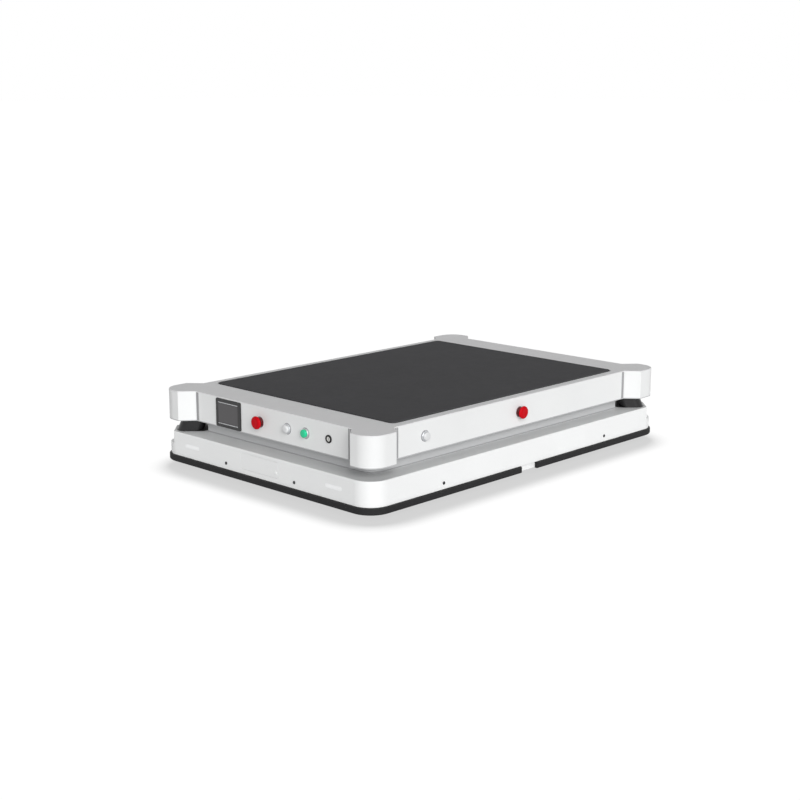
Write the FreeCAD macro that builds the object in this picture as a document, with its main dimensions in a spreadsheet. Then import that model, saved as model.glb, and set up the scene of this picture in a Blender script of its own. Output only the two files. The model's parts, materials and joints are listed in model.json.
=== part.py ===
import FreeCAD, Part
import math
import os
from collections import namedtuple

import Sketcher

# Autonomous mobile robot with a lifting load platform, for driving under a cart and carrying it.
#
# The robot drives towards +X, its left side faces +Y, and it stands on the plane z = 0 with the
# origin under the middle of its rubber bumper. A white moulded skirt covers a welded chassis with
# two sprung drive wheels and four swivel castors. A narrow neck carries the upper body, so that a
# slit runs all round the robot, through which two corner-mounted safety scanners look out. A screw
# jack in the middle and four guide columns lift the dark load platform out of the upper body.
#
# Lengths are in millimetres. Every size is a cell of the sheet below, and texts such as
# "size.deck_height - size.skirt_wall" are expressions on that sheet.

SIZES = (
    # Rubber bumper, in two U-shaped halves
    ("bumper_length", 1400, "over both halves"),
    ("bumper_width", 960, "over both sides"),
    ("bumper_corner", 70, "outer corner radius"),
    ("bumper_bottom", 27, "ground clearance"),
    ("bumper_height", 22, "height of the strip"),
    ("bumper_proud", 6, "how far it stands out of the skirt"),
    ("bumper_depth", 14, "thickness of the strip"),
    ("bumper_gap", 80, "between the halves, on each long side"),
    ("bumper_edge", 5, "rounding of the outer edges"),
    # Skirt: moulded cover with the deck on top
    ("skirt_bottom", 29, "lower rim above the floor"),
    ("skirt_wall", 4, "wall thickness"),
    ("skirt_edge", 4, "rounding where wall meets deck"),
    ("deck_height", 125, "top of the deck"),
    ("deck_landing", 10, "deck inside the neck wall"),
    ("notch_depth", 41.5, "scanner notch, from the sharp corner along its bisector"),
    ("notch_floor", 84, "ledge of the scanner notch"),
    ("port_width", 170, "charge port cover"),
    ("port_height", 49, "charge port cover"),
    ("port_corner", 8, "corner radius of the cover"),
    ("port_middle", 89.5, "height of its centre line"),
    ("port_recess", 2, "depth of its recess"),
    ("port_groove", 1.2, "gap round the cover"),
    ("port_lock_offset", 73, "lock, from the middle of the cover"),
    ("port_lock_drop", 8.5, "lock below the cover's centre line"),
    ("port_lock_radius", 5, "quarter-turn lock"),
    ("port_lock_proud", 0.8, "lock head above the cover"),
    ("lamp_offset", 323, "lamp centres from the middle"),
    ("lamp_width", 69, "lamp window"),
    ("lamp_height", 13, "lamp window"),
    ("lamp_middle", 87, "height of the lamps"),
    ("lamp_gap", 0.3, "lens in its window"),
    ("lamp_flange", 3, "lens flange behind the wall, beyond the window"),
    ("lamp_flange_depth", 2, "thickness of that flange"),
    ("screw_end_offset", 156, "skirt screws on the short sides"),
    ("screw_side_offset", 393, "skirt screws on the long sides"),
    ("screw_middle", 67.5, "height of the skirt screws"),
    ("screw_shank", 3, "shank radius"),
    ("screw_head", 5, "head radius"),
    ("screw_head_height", 2.5, "head height"),
    ("screw_play", 0.3, "radial play of a shank in its hole"),
    # Welded chassis frame
    ("base_bottom", 32, "underside of the base plate"),
    ("base_plate", 6, "thickness of the base plate"),
    ("base_clearance", 1, "between base plate and skirt"),
    ("frame_wall", 4, "upright wall of the frame"),
    ("rib_plate", 6, "thickness of the ribs"),
    ("cross_rib_spacing", 380, "cross ribs fore and aft of the drive"),
    ("scanner_space", 4, "free space behind a scanner"),
    ("bridge_plate", 8, "plate over each castor"),
    ("bridge_length", 110, "along the robot"),
    ("bridge_leg_length", 90, "its legs, along the robot"),
    ("bridge_span", 194, "across the robot, over its legs"),
    ("frame_vent_radius", 2, "smallest inner corner of the wheel slots"),
    # Castors
    ("castor_end_setback", 200, "swivel axes behind the bumper's ends"),
    ("castor_height", 127, "floor to top of its plate"),
    ("castor_wheel_radius", 50, "wheel"),
    ("castor_wheel_width", 32, "wheel"),
    ("castor_wheel_bevel", 4, "bevel at the tread's edges"),
    ("castor_trail", 30, "axle behind the swivel axis"),
    ("castor_axle", 6, "axle radius"),
    ("castor_play", 0.05, "running clearance of axle and kingpin"),
    ("castor_side_gap", 3, "between wheel and fork leg"),
    ("castor_leg", 4, "fork leg thickness"),
    ("castor_leg_width", 34, "fork leg at the axle"),
    ("castor_crown_bottom", 104, "underside of the crown"),
    ("castor_crown", 5, "crown thickness"),
    ("castor_crown_length", 64, "crown along the fork"),
    ("castor_race_radius", 30, "swivel race"),
    ("castor_race_height", 8, "race on the fork"),
    ("castor_race_gap", 0.4, "between the two races"),
    ("castor_kingpin", 7, "kingpin radius"),
    ("castor_plate", 6, "top plate thickness"),
    ("castor_plate_long", 104, "top plate along the robot"),
    ("castor_plate_wide", 90, "top plate across the robot"),
    ("castor_swing", 90, "kept free in the base plate, fore and aft of a swivel axis"),
    # Drive: two sprung arms with gearmotor and wheel
    ("wheel_radius", 90, "drive wheel"),
    ("wheel_width", 50, "drive wheel"),
    ("wheel_track", 690, "between the drive wheels' middles"),
    ("wheel_tread", 12, "thickness of the bonded tread"),
    ("wheel_tread_bevel", 5, "bevel at the tread's edges"),
    ("wheel_dish", 12, "hollow in the outer face of the disc"),
    ("wheel_hub", 32, "hub radius"),
    ("wheel_hub_proud", 3, "hub beyond the outer face"),
    ("wheel_shaft", 15, "shaft radius"),
    ("wheel_shaft_play", 0.05, "running clearance in the arm"),
    ("wheel_slot_gap", 8, "base plate slot round the wheel"),
    ("arm_gap", 8, "between wheel and arm"),
    ("arm_plate", 14, "arm thickness"),
    ("arm_pivot_reach", 112, "pivot behind the axle"),
    ("arm_pivot_height", 76, "pivot above the floor"),
    ("arm_pivot_boss", 20, "arm round its pivot"),
    ("arm_axle_boss", 42, "arm round the axle"),
    ("arm_seat_reach", 118, "spring ahead of the axle"),
    ("arm_seat_top", 92, "spring seat above the floor"),
    ("arm_seat_length", 48, "spring seat along the robot"),
    ("arm_seat_depth", 10, "spring seat thickness"),
    ("arm_seat_width", 44, "spring seat across the robot"),
    ("pivot_pin", 8, "pivot pin radius"),
    ("pivot_play", 0.05, "running clearance of the pin in the arm"),
    ("pivot_head", 12, "pin head radius"),
    ("pivot_head_height", 5, "pin head"),
    ("lug_plate", 8, "bracket lug thickness"),
    ("lug_gap", 1, "between lug and arm"),
    ("lug_radius", 15, "lug round the pin"),
    ("lug_rounding", 0.95, "share of that radius at its upper corners"),
    ("lug_foot", 6, "foot plate of the pivot bracket"),
    ("tower_plate", 8, "spring tower plate"),
    ("tower_gap", 14, "tower upright ahead of the spring seat"),
    ("tower_width", 44, "tower across the robot"),
    ("spring_length", 60, "fitted length"),
    ("spring_bulge", 21, "radius of its bulges"),
    ("spring_waist", 16, "radius of its waists and ends"),
    ("spring_bore", 7, "radius of its bore"),
    ("gearbox_radius", 43, "drive gearbox"),
    ("gearbox_length", 52, "drive gearbox"),
    ("gearbox_flange", 46, "gearbox flange radius"),
    ("gearbox_flange_depth", 8, "gearbox flange"),
    ("motor_radius", 38, "drive motor"),
    ("motor_length", 98, "drive motor"),
    ("brake_radius", 33, "brake and encoder cap"),
    ("brake_length", 30, "brake and encoder cap"),
    ("brake_edge", 4, "bevel of the cap"),
    # Safety scanners in two opposite corners
    ("scanner_front", 50, "front of the housing, from the skirt's sharp corner"),
    ("scanner_back", 148, "back of the housing, from the skirt's sharp corner"),
    ("scanner_width", 94, "across the corner's bisector"),
    ("scanner_front_corner", 30, "front corner radius"),
    ("scanner_back_corner", 24, "back corner radius"),
    ("scanner_lean", 14, "window's front and back lean outwards this much going down"),
    ("scanner_joint", 1, "housing above the deck"),
    ("scanner_top_gap", 3, "between scanner and upper body"),
    ("scanner_hole_gap", 1.5, "deck opening round the housing"),
    # Upper body
    ("body_end_setback", 50, "end panels behind the bumper"),
    ("body_side_setback", 47.5, "side panels behind the bumper"),
    ("body_bottom", 161, "underside above the floor"),
    ("body_top", 257, "top frame above the floor"),
    ("body_sheet", 3, "sheet thickness"),
    ("neck_inset", 29, "neck wall behind the panels"),
    ("panel_groove", 8, "groove at both ends of a side panel"),
    ("panel_groove_depth", 1.5, "that groove"),
    ("neck_corner", 45, "corner radius of the neck"),
    ("neck_wall", 4, "thickness of the neck wall"),
    ("pod_proud", 43, "corner covers stand out of the panels"),
    ("pod_run", 37, "length of their slanted faces along the panel"),
    ("pod_reach_end", 78.5, "cover along the short side, from the body's corner"),
    ("pod_reach_side", 94, "cover along the long side, from the body's corner"),
    ("pod_corner", 60, "vertical rounding of the covers"),
    ("top_edge", 1.5, "rounding of the top frame's rim"),
    ("lip_depth", 20, "turned-down lip round the platform opening"),
    # Load platform and lift
    ("platform_end_rim", 122, "frame between platform and end panel's face"),
    ("platform_side_rim", 34.5, "frame between platform and side panel's face"),
    ("platform_corner", 14, "corner radius"),
    ("platform_plate", 8, "thickness"),
    ("platform_proud", 3.3, "plate above the top frame when lowered"),
    ("platform_gap", 4, "between plate and top frame"),
    ("platform_edge", 1.2, "rounding of the plate's rim"),
    ("grid_length", 900, "stiffening frame under the plate"),
    ("grid_width", 640, "stiffening frame under the plate"),
    ("grid_height", 40, "height of its ribs"),
    ("grid_rib", 6, "thickness of its ribs"),
    ("grid_boss", 26, "boss over each guide column"),
    ("column_spacing_long", 460, "guide columns along the robot"),
    ("column_spacing_wide", 460, "guide columns across the robot"),
    ("column_radius", 15, "guide column"),
    ("column_foot_gap", 4, "lowered column above the base plate"),
    ("bush_radius", 24, "guide bush"),
    ("bush_height", 112, "guide bush with its flange"),
    ("bush_flange", 34, "guide bush flange radius"),
    ("bush_flange_depth", 8, "guide bush flange"),
    ("bush_play", 0.05, "running clearance of a column"),
    ("screw_radius", 16, "lift screw"),
    ("screw_play_lift", 0.05, "running clearance of the lift screw"),
    ("screw_top_gap", 6, "screw end below the platform plate"),
    ("screw_foot_gap", 4, "screw foot above the base plate"),
    ("nut_radius", 35, "nut tube under the platform"),
    ("nut_bottom", 150, "lower end of the nut tube, lowered"),
    ("bearing_radius", 48, "bearing housing of the screw"),
    ("bearing_height", 76, "bearing housing of the screw"),
    ("bearing_flange", 60, "its flange radius"),
    ("bearing_flange_depth", 8, "its flange"),
    ("gear_module", 3, "tooth module of the lift gears"),
    ("gear_teeth", 54, "gear on the screw"),
    ("pinion_teeth", 18, "pinion on the lift motor"),
    ("gear_width", 16, "face width of the gear"),
    ("gear_bottom", 119, "underside of the gears"),
    ("gear_backlash", 0.5, "play between the tooth flanks"),
    ("gear_pressure_angle", 20, "degrees"),
    ("thrust_gap", 0.5, "between the screw's collar and its bearing housing"),
    ("gear_shaft_collar", 24, "collar that carries the gear on the screw"),
    ("pinion_shaft", 8, "pinion shaft radius"),
    ("lift_motor_radius", 40, "lift motor"),
    ("lift_motor_height", 76, "lift motor"),
    ("lift_motor_edge", 5, "bevel of the lift motor"),
    # Battery and electronics
    ("battery_length", 340, "battery"),
    ("battery_width", 340, "battery"),
    ("battery_height", 110, "battery"),
    ("battery_corner", 10, "battery edges"),
    ("battery_rib_gap", 67, "between battery and cross rib"),
    ("battery_side_gap", 12, "between battery and the long ribs beside it"),
    ("battery_lid", 8, "depth of the groove under its lid"),
    ("battery_groove", 3, "width and depth of that groove"),
    ("control_length", 300, "electronics box"),
    ("control_width", 330, "electronics box"),
    ("control_height", 84, "electronics box"),
    ("control_rib_gap", 82, "between electronics box and cross rib"),
    ("control_corner", 6, "its edges"),
    ("fin_height", 18, "cooling fins"),
    ("fin_plate", 4, "fin thickness"),
    ("fin_pitch", 24, "fin spacing"),
    ("fin_count", 11, "number of fins"),
    # Controls on the panels
    ("controls_middle", 209, "height of the controls"),
    ("panel_hole", 11.15, "radius of the control holes"),
    ("display_offset", 191, "display, right of the middle"),
    ("display_middle", 208.5, "height of the display's centre"),
    ("display_width", 118, "bezel"),
    ("display_height", 90, "bezel"),
    ("display_corner", 5, "bezel corner radius"),
    ("display_proud", 4, "bezel in front of the panel"),
    ("display_edge", 1.5, "rounding of the bezel"),
    ("display_body_width", 106, "housing behind the panel"),
    ("display_body_height", 74, "housing behind the panel"),
    ("display_body_depth", 28, "housing behind the panel"),
    ("display_body_gap", 0.5, "panel cut-out round the housing"),
    ("screen_width", 93, "display glass"),
    ("screen_height", 61, "display glass"),
    ("screen_depth", 2, "display glass"),
    ("screen_gap", 0.3, "glass in its recess"),
    ("estop_offset", 43, "emergency stop, right of the middle"),
    ("white_button_offset", 80, "white button, left of the middle"),
    ("green_button_offset", 160, "green button, left of the middle"),
    ("key_offset", 259, "key switch, left of the middle"),
    ("side_button_setback", 220, "button on the left side, behind the body's front"),
    ("estop_stem", 7, "plunger radius"),
    ("estop_head", 20, "mushroom radius"),
    ("estop_head_height", 8.5, "mushroom"),
    ("estop_rim", 4.5, "height where its rim turns in"),
    ("estop_chamfer", 1.5, "bevel of its lower rim"),
    ("estop_crown", 13, "radius of its flat crown"),
    ("estop_travel", 4.5, "stroke"),
    ("estop_collar", 16, "collar radius"),
    ("collar_bevel", 1, "bevel of the collars"),
    ("estop_collar_height", 9, "collar in front of the panel"),
    ("control_neck", 11, "threaded neck in the panel hole"),
    ("control_nut", 14, "nut and contact block behind the panel"),
    ("control_depth", 30, "depth behind the panel"),
    ("control_stem_gap", 0.3, "plunger in its collar"),
    ("travel_gap", 0.5, "left between head and collar when pressed"),
    ("button_collar", 15, "button collar radius"),
    ("button_collar_height", 5, "button collar"),
    ("button_cap", 12, "button cap radius"),
    ("button_cap_height", 8, "button cap above its collar"),
    ("button_dome", 3, "bevel of the cap"),
    ("button_travel", 3, "stroke"),
    ("button_stem", 8, "button stem radius"),
    ("key_collar", 12.5, "radius of the key switch collar"),
    ("key_collar_height", 3, "key switch collar"),
    ("key_barrel", 7, "key barrel radius"),
    ("key_barrel_proud", 2, "barrel in front of the panel"),
    ("key_slot_length", 9, "key slot"),
    ("key_slot_width", 2, "key slot"),
    ("key_slot_depth", 6, "key slot"),
    ("stem_back_gap", 2, "plungers end inside their block"),
)

model = FreeCAD.newDocument("autonomous_mobile_robot")
sheet = model.addObject("Spreadsheet::Sheet", "size")
for row, (alias, value, meaning) in enumerate(SIZES, start=1):
    sheet.set(f"A{row}", meaning)
    sheet.set(f"B{row}", str(value))
    sheet.setAlias(f"B{row}", alias)
model.recompute()

Circle = namedtuple("Circle", "across up radius")
QUADRANTS = ((1, 1), (-1, 1), (-1, -1), (1, -1))
ENDS = (1, -1)
SCANNER_QUADRANTS = ((1, -1), (-1, 1))
TINY = 1e-6
subparts = {}


def number(text):
    """Value of an expression on the sheet."""
    return float(sheet.evalExpression(str(text)))


def bind(owner, path, text):
    """Ties one property of an object to the sheet."""
    if str(text) != "0":
        owner.setExpression(path, str(text))


def add_bound_constraint(sketch, kind, where, text):
    """Adds a dimension to a sketch and ties it to the sheet."""
    index = sketch.addConstraint(Sketcher.Constraint(kind, *where, number(text)))
    bind(sketch, f"Constraints[{index}]", text)


def pin(sketch, geometry, end, across, up):
    """Fixes a point of a sketch at two distances from the sketch's origin."""
    add_bound_constraint(sketch, "DistanceX", (-1, 1, geometry, end), across)
    add_bound_constraint(sketch, "DistanceY", (-1, 1, geometry, end), up)


def draw_circle(sketch, circle):
    """Draws one circle."""
    middle = FreeCAD.Vector(number(circle.across), number(circle.up), 0)
    ring = Part.Circle(middle, FreeCAD.Vector(0, 0, 1), number(circle.radius))
    index = sketch.addGeometry(ring, False)
    pin(sketch, index, 3, circle.across, circle.up)
    add_bound_constraint(sketch, "Radius", (index,), circle.radius)


def draw_outline(sketch, corners):
    """Draws a closed outline through corners (across, up, radius), where radius 0 is a sharp corner."""
    count = len(corners)
    places = [FreeCAD.Vector(number(across), number(up), 0) for across, up, _ in corners]
    radii = [number(radius) for _, _, radius in corners]
    entries, exits, centres = [], [], []
    for index, place in enumerate(places):
        back = (places[index - 1] - place).normalize()
        ahead = (places[(index + 1) % count] - place).normalize()
        half_angle = back.getAngle(ahead) / 2
        reach = radii[index] / math.tan(half_angle)
        entries.append(place + back * reach)
        exits.append(place + ahead * reach)
        inwards = (back + ahead).normalize()
        centres.append(place + inwards * radii[index] / math.sin(half_angle))
    sides = []
    for index in range(count):
        side = Part.LineSegment(exits[index], entries[(index + 1) % count])
        sides.append(sketch.addGeometry(side, False))
    for index, (across, up, radius) in enumerate(corners):
        arriving, leaving = sides[index - 1], sides[index]
        if radii[index] < TINY:
            sketch.addConstraint(Sketcher.Constraint("Coincident", arriving, 2, leaving, 1))
            pin(sketch, leaving, 1, across, up)
            continue
        centre = centres[index]
        to_entry, to_exit = entries[index] - centre, exits[index] - centre
        turns_left = to_entry.cross(to_exit).z > 0
        first, last = (to_entry, to_exit) if turns_left else (to_exit, to_entry)
        circle = Part.Circle(centre, FreeCAD.Vector(0, 0, 1), radii[index])
        angles = [math.atan2(point.y, point.x) for point in (first, last)]
        arc = sketch.addGeometry(Part.ArcOfCircle(circle, *angles), False)
        entry_end, exit_end = (1, 2) if turns_left else (2, 1)
        sketch.addConstraint(Sketcher.Constraint("Tangent", arriving, 2, arc, entry_end))
        sketch.addConstraint(Sketcher.Constraint("Tangent", leaving, 1, arc, exit_end))
        add_bound_constraint(sketch, "Radius", (arc,), radius)
        corner = sketch.addGeometry(Part.Point(places[index]), True)
        sketch.addConstraint(Sketcher.Constraint("PointOnObject", corner, 1, arriving))
        sketch.addConstraint(Sketcher.Constraint("PointOnObject", corner, 1, leaving))
        pin(sketch, corner, 1, across, up)


def rectangle(length, width, radius="0", across="0", up="0"):
    """Corners of a rectangle with equal corner radii."""
    return [
        (f"({across}) + {sign_x} * ({length}) / 2", f"({up}) + {sign_y} * ({width}) / 2", radius)
        for sign_x, sign_y in QUADRANTS
    ]


def mixed_rectangle(length, width, radius, bevel, bevelled):
    """Corners of a centred rectangle that is rounded, but bevelled in the quadrants named."""
    corners = []
    for sign_x, sign_y in QUADRANTS:
        across = f"{sign_x} * ({length}) / 2"
        up = f"{sign_y} * ({width}) / 2"
        if (sign_x, sign_y) not in bevelled:
            corners.append((across, up, radius))
            continue
        on_end = (across, f"{up} - {sign_y} * ({bevel})", "0")
        on_side = (f"{across} - {sign_x} * ({bevel})", up, "0")
        corners += [on_end, on_side] if sign_x * sign_y > 0 else [on_side, on_end]
    return corners


class Piece:
    """A rigid piece: one body whose sketches and features take their sizes from the sheet."""

    def __init__(self, label):
        self.body = model.addObject("PartDesign::Body", label)
        self.body.Label = label
        self.body.AllowCompound = True

    def origin_feature(self, role):
        """Plane or axis of the body's own origin."""
        return next(item for item in self.body.Origin.OriginFeatures if item.Role == role)

    def sketch(self, plane, level, loops):
        """Sketch of closed loops, at a level along the normal of an origin plane."""
        sketch = self.body.newObject("Sketcher::SketchObject", f"{self.body.Name}_sketch")
        sketch.AttachmentSupport = [(self.origin_feature(plane), "")]
        sketch.MapMode = "FlatFace"
        bind(sketch, "AttachmentOffset.Base.z", level)
        for loop in loops:
            if isinstance(loop, Circle):
                draw_circle(sketch, loop)
            else:
                draw_outline(sketch, loop)
        return sketch

    def volume(self):
        """Volume of the body as built so far."""
        model.recompute()
        return self.body.Shape.Volume

    def pad(self, level, height, loops, plane="XY_Plane"):
        """Adds material between level and level + height."""
        feature = self.body.newObject("PartDesign::Pad", f"{self.body.Name}_pad")
        feature.Profile = self.sketch(plane, level, loops)
        bind(feature, "Length", height)
        return feature

    def cut(self, level, height, loops, plane="XY_Plane"):
        """Takes material away between level and level + height."""
        before = self.volume()
        feature = self.body.newObject("PartDesign::Pocket", f"{self.body.Name}_pocket")
        feature.Profile = self.sketch(plane, level, loops)
        feature.Reversed = True
        bind(feature, "Length", height)
        if self.volume() > before - TINY:
            raise ValueError(f"{feature.Name} takes nothing away")
        return feature

    def turn(self, profile):
        """Turns a profile of (radius, height, rounding) corners about the vertical axis."""
        feature = self.body.newObject("PartDesign::Revolution", f"{self.body.Name}_turned")
        sketch = self.sketch("XZ_Plane", "0", [profile])
        feature.Profile = sketch
        feature.ReferenceAxis = (sketch, ["V_Axis"])
        feature.Angle = 360
        return feature

    def loft(self, low_level, low_loop, high_level, high_loop):
        """Adds material between two outlines at different levels."""
        feature = self.body.newObject("PartDesign::AdditiveLoft", f"{self.body.Name}_loft")
        feature.Profile = self.sketch("XY_Plane", low_level, [low_loop])
        feature.Sections = [self.sketch("XY_Plane", high_level, [high_loop])]
        feature.Ruled = True
        return feature

    def round_edges(self, radius, chosen):
        """Rounds the edges that the test picks."""
        model.recompute()
        tip = self.body.Tip
        names = [f"Edge{index}" for index, edge in enumerate(tip.Shape.Edges, 1) if chosen(edge)]
        if not names:
            raise ValueError(f"{self.body.Label} has no such edge to round")
        feature = self.body.newObject("PartDesign::Fillet", f"{self.body.Name}_rounding")
        feature.Base = (tip, names)
        bind(feature, "Radius", radius)
        return feature

    def repeat_turned(self, features, count):
        """Repeats features round the vertical axis."""
        pattern = self.body.newObject("PartDesign::PolarPattern", f"{self.body.Name}_pattern")
        pattern.Originals = features
        pattern.Axis = (self.origin_feature("Z_Axis"), [""])
        pattern.Angle = 360
        pattern.Occurrences = count
        self.body.Tip = pattern
        return pattern

    def place(self, across, along, up, facing=None):
        """Puts the body at a place, its own vertical axis facing the given way."""
        turned = FreeCAD.Rotation(FreeCAD.Vector(0, 0, 1), facing or FreeCAD.Vector(0, 0, 1))
        self.body.Placement = FreeCAD.Placement(FreeCAD.Vector(0, 0, 0), turned)
        for path, text in (("x", across), ("y", along), ("z", up)):
            bind(self.body, f"Placement.Base.{path}", text)
        return self

    def keep(self):
        """Makes the body a sub-part of the robot."""
        subparts[self.body.Label] = self.body
        return self


def keep_group(label, pieces):
    """Makes several bodies of one kind one sub-part."""
    group = model.addObject("Part::Compound", label)
    group.Label = label
    group.Links = [piece.body for piece in pieces]
    subparts[label] = group


def level_edge(height, tolerance=0.01):
    """Test for edges that lie flat at a height."""
    def chosen(edge):
        box = edge.BoundBox
        return abs(box.ZMin - number(height)) < tolerance and abs(box.ZMax - number(height)) < tolerance
    return chosen


FORWARD = FreeCAD.Vector(1, 0, 0)
LEFT = FreeCAD.Vector(0, 1, 0)
RIGHT = FreeCAD.Vector(0, -1, 0)
SIDE_NAMES = {1: "left", -1: "right"}
END_NAMES = {1: "front", -1: "rear"}

# Outlines and levels that several pieces share
BUMPER_TOP = "(size.bumper_bottom + size.bumper_height)"
BUMPER_INNER_LENGTH = "(size.bumper_length - 2 * size.bumper_depth)"
BUMPER_INNER_WIDTH = "(size.bumper_width - 2 * size.bumper_depth)"
BUMPER_INNER_CORNER = "(size.bumper_corner - size.bumper_depth)"
SKIRT_LENGTH = "(size.bumper_length - 2 * size.bumper_proud)"
SKIRT_WIDTH = "(size.bumper_width - 2 * size.bumper_proud)"
SKIRT_CORNER = "(size.bumper_corner - size.bumper_proud)"
SKIRT_INNER_LENGTH = f"({SKIRT_LENGTH} - 2 * size.skirt_wall)"
SKIRT_INNER_WIDTH = f"({SKIRT_WIDTH} - 2 * size.skirt_wall)"
SKIRT_INNER_CORNER = f"({SKIRT_CORNER} - size.skirt_wall)"
SKIRT_LOW_LENGTH = f"({BUMPER_INNER_LENGTH} - 2 * size.skirt_wall)"
SKIRT_LOW_WIDTH = f"({BUMPER_INNER_WIDTH} - 2 * size.skirt_wall)"
SKIRT_LOW_CORNER = f"({BUMPER_INNER_CORNER} - size.skirt_wall)"
BODY_LENGTH = "(size.bumper_length - 2 * size.body_end_setback)"
BODY_WIDTH = "(size.bumper_width - 2 * size.body_side_setback)"
SKIRT_STEP = f"({BUMPER_TOP} + size.skirt_wall)"
DECK_UNDERSIDE = "(size.deck_height - size.skirt_wall)"
BASE_TOP = "(size.base_bottom + size.base_plate)"
BASE_LENGTH = f"({SKIRT_LOW_LENGTH} - 2 * size.base_clearance)"
BASE_WIDTH = f"({SKIRT_LOW_WIDTH} - 2 * size.base_clearance)"
NECK_LENGTH = f"({BODY_LENGTH} - 2 * size.neck_inset)"
NECK_WIDTH = f"({BODY_WIDTH} - 2 * size.neck_inset)"
NECK_INNER_LENGTH = f"({NECK_LENGTH} - 2 * size.neck_wall)"
NECK_INNER_WIDTH = f"({NECK_WIDTH} - 2 * size.neck_wall)"
FLANGE_TOP = "(size.body_bottom + size.body_sheet)"
PANEL_TOP = "(size.body_top - size.body_sheet)"
PANEL_HEIGHT = f"({PANEL_TOP} - {FLANGE_TOP})"
PLATFORM_TOP = "(size.body_top + size.platform_proud)"
PLATFORM_UNDERSIDE = f"({PLATFORM_TOP} - size.platform_plate)"
PLATFORM_LENGTH = f"({BODY_LENGTH} - 2 * size.platform_end_rim)"
PLATFORM_WIDTH = f"({BODY_WIDTH} - 2 * size.platform_side_rim)"
OPENING_LENGTH = f"({PLATFORM_LENGTH} + 2 * size.platform_gap)"
OPENING_WIDTH = f"({PLATFORM_WIDTH} + 2 * size.platform_gap)"
OPENING_CORNER = "(size.platform_corner + size.platform_gap)"


def bevel_behind_scanner(length, width, back):
    """Bevel that keeps a centred rectangle behind a distance from the skirt's sharp corner."""
    return f"((({length}) + ({width}) - {SKIRT_LENGTH} - {SKIRT_WIDTH}) / 2 + ({back}) * sqrt(2))"


def scanner_corners(front, back, width, front_radius, back_radius):
    """Outline of a scanner at the front right corner, measured along that corner's bisector."""
    corners = []
    marks = (
        (front, -1, front_radius), (front, 1, front_radius),
        (back, 1, back_radius), (back, -1, back_radius))
    for inwards, sideways, radius in marks:
        across = f"{SKIRT_LENGTH} / 2 + ({sideways} * ({width}) / 2 - ({inwards})) / sqrt(2)"
        up = f"-{SKIRT_WIDTH} / 2 + ({sideways} * ({width}) / 2 + ({inwards})) / sqrt(2)"
        corners.append((across, up, radius))
    return corners


def turned_about_middle(corners):
    """The same outline in the opposite corner of the robot."""
    return [(f"-({across})", f"-({up})", radius) for across, up, radius in corners]


# --- Bumper and skirt ---------------------------------------------------------------------------

def make_bumper(end):
    """One U-shaped half of the rubber bumper, with rounded outer edges."""
    bumper = Piece(f"{END_NAMES[end]}_bumper")
    outer = rectangle("size.bumper_length", "size.bumper_width", "size.bumper_corner")
    inner = rectangle(BUMPER_INNER_LENGTH, BUMPER_INNER_WIDTH, BUMPER_INNER_CORNER)
    bumper.pad("size.bumper_bottom", "size.bumper_height", [outer, inner])
    far_half = rectangle("size.bumper_length", "2 * size.bumper_width", "0",
                         f"-{end} * (size.bumper_length - size.bumper_gap) / 2")
    bumper.cut("size.bumper_bottom", "size.bumper_height", [far_half])
    half_width = number("size.bumper_width") / 2
    half_length = number("size.bumper_length") / 2
    depth = number("size.bumper_depth")

    def on_outside(edge):
        box = edge.BoundBox
        flat = box.ZLength < TINY
        outside = max(abs(box.YMin), abs(box.YMax)) > half_width - depth / 2
        ahead = max(abs(box.XMin), abs(box.XMax)) > half_length - depth / 2
        return flat and (outside or ahead) and max(box.XLength, box.YLength) > depth + TINY

    bumper.round_edges("size.bumper_edge", on_outside)
    bumper.keep()


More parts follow.
